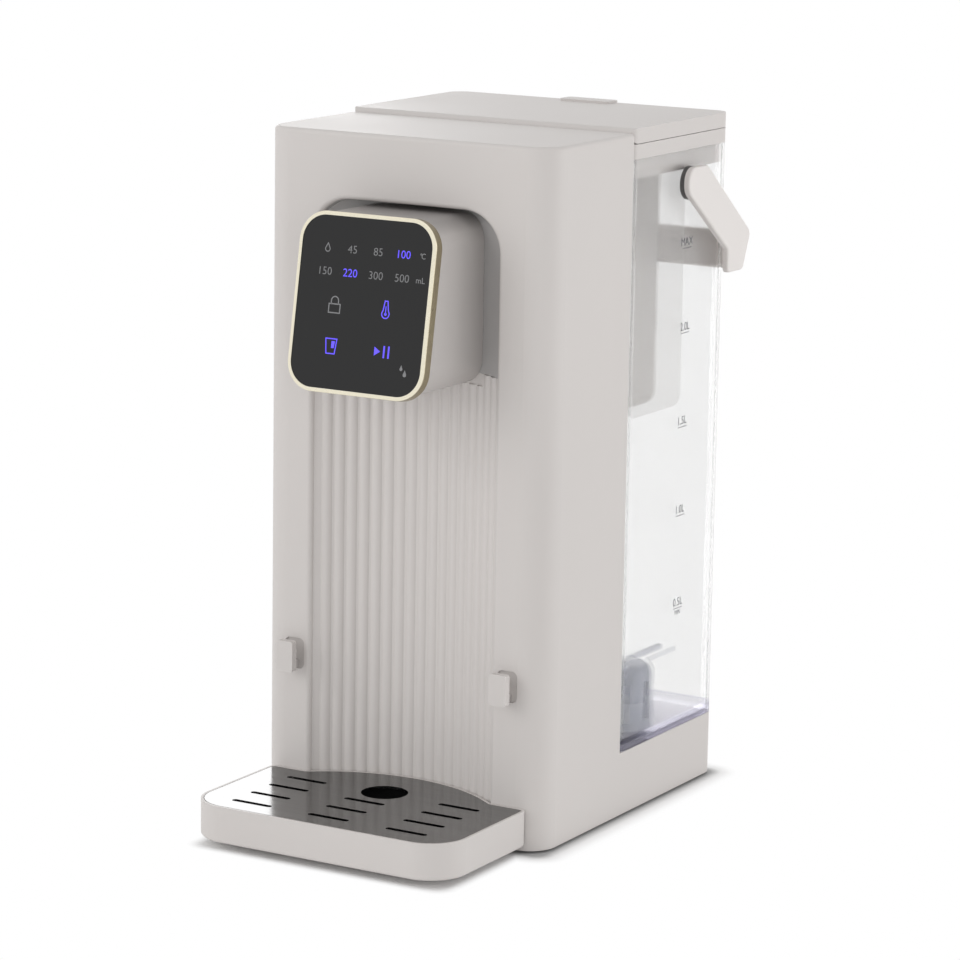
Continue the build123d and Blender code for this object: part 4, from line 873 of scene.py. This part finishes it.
class DISPENSER_OT_tank(bpy.types.Operator):
    """Give the tank its clear wall, rim, lid, valve and float"""

    bl_idname = "dispenser.tank"
    bl_label = "Tank"

    def execute(self, context):
        c = colours()
        finish(["tank_shell"], self.tank_plastic(c))
        finish(["tank_rim"], self.rim_plastic(c))
        finish(["tank_lid"], moulded_plastic("lid plastic", c.shell))
        smoky = clear_plastic("smoky plastic", shade(188, 191, 203), rough=0.3, straight=0.25)
        principled(smoky.node_tree)["Transmission Weight"].default_value = 0.45
        finish(["valve_body", "float_cage"], smoky)
        white = moulded_plastic("float plastic", shade(236, 236, 234))
        finish(["level_float", "valve_plunger"], white)
        silicone = rubber("seal silicone", shade(222, 222, 218), rough=0.55)
        finish(["rim_gasket", "seat_seal", "valve_washer"], silicone)
        socket = moulded_plastic("socket plastic", shade(228, 228, 226))
        finish(["valve_socket"], socket)
        return {"FINISHED"}

    def rim_plastic(self, c):
        """The shell's plastic, with painted shade: a darker colour on the skirt inside the clear
        wall.
        """
        material = moulded_plastic("rim plastic", c.shell)
        tree = material.node_tree
        top = own_box("tank_rim")[0].z + SKIRT_DEPTH
        # Painted shade: below the skirt's top, the darker skirt colour is laid over the rim's own.
        skirt = math_node(tree, "LESS_THAN", upright(tree, object_place(tree)), top)
        paint_over(material, skirt, c.skirt)
        return material

    def tank_plastic(self, c):
        """Clear plastic whose thick floor is tinted, with painted shade: lilac grey on the floor's
        outer edge.
        """
        material = clear_plastic("clear tank", CLEAR_PLASTIC)
        tree = material.node_tree
        coordinates = tree.nodes.new("ShaderNodeTexCoord").outputs
        top = own_height("tank_shell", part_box("float_cage")[0].z)
        height = upright(tree, coordinates["Object"])
        floor = ranged(tree, height, top + 0.1 * MM, top + 0.5 * MM, 1.0, 0.0)
        # Painted shade: where the floor's surface doesn't face up, the lilac grey edge colour is
        # used.
        upward = ranged(tree, upright(tree, coordinates["Normal"]), 0.3, 0.7, 0.0, 1.0)
        tint = mix_colour(tree, upward, c.tank_floor_edge_shade, c.tank_floor)
        tinted = mix_colour(tree, floor, CLEAR_PLASTIC, tint)
        feed(tree, tinted, principled(tree)["Base Color"])
        feed(tree, tinted, tree.nodes["Transparent BSDF"].inputs["Color"])
        return material


class DISPENSER_OT_filter(bpy.types.Operator):
    """Give the filter funnel its frosted plastic and the cartridge its white shell"""

    bl_idname = "dispenser.filter"
    bl_label = "Filter"

    def execute(self, context):
        frosted = moulded_plastic("frosted plastic", colours().filter_holder,
                                  gloss=(0.5, 0.6), tone=0.02)
        finish(["filter_funnel"], frosted)
        cartridge = moulded_plastic("cartridge plastic", shade(238, 238, 236))
        finish(["filter_cartridge"], cartridge)
        return {"FINISHED"}


class DISPENSER_OT_tank_marks(bpy.types.Operator):
    """Print the litre marks on the tank's right wall"""

    bl_idname = "dispenser.tank_marks"
    bl_label = "Tank marks"

    def execute(self, context):
        low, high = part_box("tank_shell")
        height = sizes().mark_height / MM
        bm = bmesh.new()
        for words, z in LITRE_MARKS:
            add_text(bm, words, height * 0.85, 0, z + height * 0.5)
            stroke(bm, [(-MARK_HALF, z - MARK_DROP), (MARK_HALF, z - MARK_DROP)], MARK_LINE)
        lowest = LITRE_MARKS[0][1] - MARK_DROP
        add_text(bm, "MIN", height * 0.5, 0, lowest - height * 0.42)
        place = (high.x + INK_GAP, low.y + MARKS_BACK * MM, 0)
        wall = axes_at(place, (0, 1, 0), (0, 0, 1), (1, 0, 0))
        dark = ink("mark ink", shade(78, 79, 84))
        print_sheet(bm, "tank_litre_marks", wall, dark, "tank")
        return {"FINISHED"}


class DISPENSER_OT_handle(bpy.types.Operator):
    """Give the carrying handle and its pivots their plastic"""

    bl_idname = "dispenser.handle"
    bl_label = "Handle"

    def execute(self, context):
        handle = moulded_plastic("handle plastic", colours().handle)
        finish(["tank_handle"], handle)
        pivots = moulded_plastic("pivot plastic", shade(92, 90, 90))
        finish(["handle_pivots"], pivots)
        return {"FINISHED"}


class DISPENSER_OT_water_works(bpy.types.Operator):
    """Finish the pump, the heater and the hoses inside the block"""

    bl_idname = "dispenser.water_works"
    bl_label = "Water works"

    def execute(self, context):
        finish(["pump_pad"], rubber("pad rubber", NEAR_BLACK))
        pump = moulded_plastic("pump plastic", WHITE_PLASTIC)
        finish(["pump_head", "heater_caps"], pump)
        drawn = brushed_metal("drawn steel", (0.42, 0.42, 0.42), scale=400.0)
        finish(["pump_motor", "heater_tube", "heater_clamps", "temperature_probe"], drawn)
        cutouts = moulded_plastic("cutout plastic", NEAR_BLACK, wear=0.1)
        finish(["thermal_cutouts"], cutouts)
        hose = rubber("hose silicone", WHITE_PLASTIC, rough=0.5)
        finish(["inlet_hose", "transfer_hose", "outlet_hose"], hose)
        return {"FINISHED"}


class DISPENSER_OT_electronics(bpy.types.Operator):
    """Finish the circuit boards, their parts and the level sensor"""

    bl_idname = "dispenser.electronics"
    bl_label = "Electronics"

    def execute(self, context):
        finish(["power_board", "display_board"], self.circuit_board())
        parts = moulded_plastic("wound parts", (0.5, 0.33, 0.05), gloss=(0.3, 0.5), tone=0.2)
        finish(["board_parts"], parts)
        standoffs = moulded_plastic("standoff plastic", WHITE_PLASTIC)
        finish(["board_standoffs"], standoffs)
        spacer = moulded_plastic("spacer plastic", NEAR_BLACK)
        finish(["panel_spacer", "level_sensor"], spacer)
        return {"FINISHED"}

    def circuit_board(self):
        """Green painted laminate with raised tracks."""
        material, tree = new_material("circuit board")
        tracks = tree.nodes.new("ShaderNodeTexBrick")
        tracks.inputs["Scale"].default_value = 120
        tracks.inputs["Mortar Size"].default_value = 0.05
        tracks.inputs["Color1"].default_value = (0.008, 0.07, 0.03, 1)
        tracks.inputs["Color2"].default_value = (0.012, 0.1, 0.045, 1)
        tracks.inputs["Mortar"].default_value = (0.03, 0.2, 0.09, 1)
        feed(tree, object_place(tree), tracks.inputs["Vector"])
        edge = tracks.outputs["Fac"]
        dress(tree, tracks.outputs["Color"], ranged(tree, edge, 0, 1, 0.3, 0.45), edge, 0.03 * MM)
        return material


class DISPENSER_OT_valve_spring(bpy.types.Operator):
    """Wind the tank valve's spring"""

    bl_idname = "dispenser.valve_spring"
    bl_label = "Valve spring"

    def execute(self, context):
        low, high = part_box("valve_spring")
        wire = sizes().spring_wire / 2
        radius = (high.x - low.x) / 2 - wire
        rise = high.z - low.z - 2 * wire
        start = Vector(((low.x + high.x) / 2, (low.y + high.y) / 2, low.z + wire))
        bm = bmesh.new()
        self.wind(bm, start, radius, rise, wire)
        spring = mesh_object(bm, "valve_coil_spring", brushed_metal("spring wire", SPRING_STEEL))
        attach(spring, "tank")
        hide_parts("valve_spring")
        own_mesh(spring)
        return {"FINISHED"}

    def wind(self, bm, start, radius, rise, wire):
        """Sweep the round wire along a helix about an upright axis through the start."""
        turns, steps, sides = sizes().spring_turns, 36, 12
        slope = math.atan2(rise / turns, 2 * math.pi * radius)
        angles = [2 * math.pi * side / sides for side in range(sides)]
        rings = []
        for step in range(turns * steps + 1):
            turn = 2 * math.pi * step / steps
            outward = Vector((math.cos(turn), math.sin(turn), 0))
            upward = Vector((outward.y * math.sin(slope), -outward.x * math.sin(slope),
                             math.cos(slope)))
            centre = start + outward * radius + Vector((0, 0, rise * step / (turns * steps)))
            circle = [(outward * math.cos(a) + upward * math.sin(a)) * wire for a in angles]
            rings.append([bm.verts.new(centre + point) for point in circle])
        for first, second in zip(rings, rings[1:]):
            for side in range(sides):
                after = (side + 1) % sides
                face = bm.faces.new((first[side], first[after], second[after], second[side]))
                face.smooth = True
        bm.faces.new(rings[0])
        bm.faces.new(rings[-1])
        bmesh.ops.recalc_face_normals(bm, faces=bm.faces)


class DISPENSER_OT_fasteners(bpy.types.Operator):
    """Finish the screws and hinge pins"""

    bl_idname = "dispenser.fasteners"
    bl_label = "Fasteners"

    def execute(self, context):
        zinc = brushed_metal("zinc steel", (0.35, 0.35, 0.36), gloss=(0.3, 0.5), scale=1500.0)
        finish(["bottom_screws", "panel_screws", "head_screws"], zinc)
        finish(["hinge_pins"], brushed_metal("pin steel", SPRING_STEEL))
        return {"FINISHED"}


class DISPENSER_OT_stage(bpy.types.Operator):
    """Make the floor, the world, the lamps and the camera"""

    bl_idname = "dispenser.stage"
    bl_label = "Stage"

    def execute(self, context):
        scene = context.scene
        scene.view_settings.view_transform = "Standard"
        self.make_floor()
        self.make_world(scene)
        for lamp in LAMPS:
            self.make_lamp(*lamp)
        self.make_camera(scene)
        return {"FINISHED"}

    def make_floor(self):
        """A pale round sheet that turns to pure white away from the object, with a painted contact
        shadow: darker close round the block.
        """
        material, tree = new_material("studio paper")
        principled(tree)["Specular IOR Level"].default_value = 0.1
        place = object_place(tree)
        block = outline_distance(tree, place, *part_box("body_shell"), 4 * MM)
        tray = outline_distance(tree, place, *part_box("drip_tray"), 8 * MM)
        # Painted shadow: within a few millimetres of the block's outline, the paper is darker.
        painted_contact_shadow = ranged(tree, block, 4 * MM, 9 * MM, 1.0, 0.0)
        dress(tree, mix_colour(tree, painted_contact_shadow, (0.98, 0.98, 0.98), (0.5, 0.5, 0.5)), 0.9)
        # The tray stands lower than the block, so its shadow ends sooner
        outside = math_node(tree, "MINIMUM", block, math_node(tree, "MULTIPLY", tray, 1.6))
        far = ranged(tree, outside, 4 * MM, 17 * MM, 0.0, 1.0)
        far.node.interpolation_type = "SMOOTHSTEP"
        factor = math_node(tree, "MULTIPLY", far, rays(tree, SEEN))
        white = tree.nodes.new("ShaderNodeEmission")
        mix_shader(tree, factor, white)

        bm = bmesh.new()
        bmesh.ops.create_circle(bm, cap_ends=True, segments=96, radius=6.0)
        floor = mesh_object(bm, "studio_floor", material)
        floor.location.z = -0.2 * MM

    def make_world(self, scene):
        """Soft light from all round, seen as plain white by the camera, metal and glass."""
        scene.world = bpy.data.worlds.new("studio")
        scene.world.use_nodes = True
        tree = scene.world.node_tree
        background = tree.nodes["Background"].inputs
        background["Color"].default_value = (1, 1, 1, 1)
        strength = ranged(tree, rays(tree, SEEN), 0, 1, AMBIENT, 1.0)
        feed(tree, strength, background["Strength"])

    def make_lamp(self, name, place, aim, size, power, reflected):
        """A square soft lamp at a place, pointing at a spot."""
        data = bpy.data.lights.new(name, "AREA")
        data.shape = "SQUARE"
        data.size = size
        data.energy = power
        lamp = add_object(name, data)
        lamp.location = place
        lamp.rotation_mode = "QUATERNION"
        lamp.rotation_quaternion = (Vector(aim) - Vector(place)).to_track_quat("-Z", "Y")
        lamp.visible_glossy = reflected

    def make_camera(self, scene):
        """The camera from which the photograph was taken."""
        data = bpy.data.cameras.new("camera")
        data.sensor_width = 36
        data.lens = CAMERA_LENS
        data.clip_start = 0.1
        data.clip_end = 50
        camera = add_object("camera", data)
        camera.matrix_world = axes_at(CAMERA_PLACE, *CAMERA_AXES)
        scene.camera = camera


class DISPENSER_PT_panel(bpy.types.Panel):
    """Buttons for the dispenser's pieces, with its sizes and colours"""

    bl_idname = "DISPENSER_PT_panel"
    bl_label = "Hot water dispenser"
    bl_space_type = "VIEW_3D"
    bl_region_type = "UI"
    bl_category = "Dispenser"

    def draw(self, context):
        column = self.layout.column(align=True)
        for operator in OPERATORS:
            column.operator(operator.bl_idname)
        for group in (sizes(), colours()):
            box = self.layout.box()
            for name in group.__annotations__:
                box.prop(group, name)


OPERATORS = (
    DISPENSER_OT_housing,
    DISPENSER_OT_head,
    DISPENSER_OT_panel_symbols,
    DISPENSER_OT_drip_tray,
    DISPENSER_OT_tank,
    DISPENSER_OT_filter,
    DISPENSER_OT_tank_marks,
    DISPENSER_OT_handle,
    DISPENSER_OT_water_works,
    DISPENSER_OT_electronics,
    DISPENSER_OT_valve_spring,
    DISPENSER_OT_fasteners,
    DISPENSER_OT_stage,
)
CLASSES = (DispenserSizes, DispenserColours, *OPERATORS, DISPENSER_PT_panel)


def register():
    """Add the classes, the sizes and the colours to Blender."""
    for cls in CLASSES:
        bpy.utils.register_class(cls)
    bpy.types.Scene.dispenser_sizes = bpy.props.PointerProperty(type=DispenserSizes)
    bpy.types.Scene.dispenser_colours = bpy.props.PointerProperty(type=DispenserColours)


def unregister():
    """Take the classes, the sizes and the colours out of Blender."""
    del bpy.types.Scene.dispenser_colours
    del bpy.types.Scene.dispenser_sizes
    for cls in reversed(CLASSES):
        bpy.utils.unregister_class(cls)


def main():
    """Dress the CAD model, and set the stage."""
    register()
    bpy.ops.dispenser.housing()
    bpy.ops.dispenser.head()
    bpy.ops.dispenser.panel_symbols()
    bpy.ops.dispenser.drip_tray()
    bpy.ops.dispenser.tank()
    bpy.ops.dispenser.filter()
    bpy.ops.dispenser.tank_marks()
    bpy.ops.dispenser.handle()
    bpy.ops.dispenser.water_works()
    bpy.ops.dispenser.electronics()
    bpy.ops.dispenser.valve_spring()
    bpy.ops.dispenser.fasteners()
    bpy.ops.dispenser.stage()


if __name__ == "__main__":
    main()
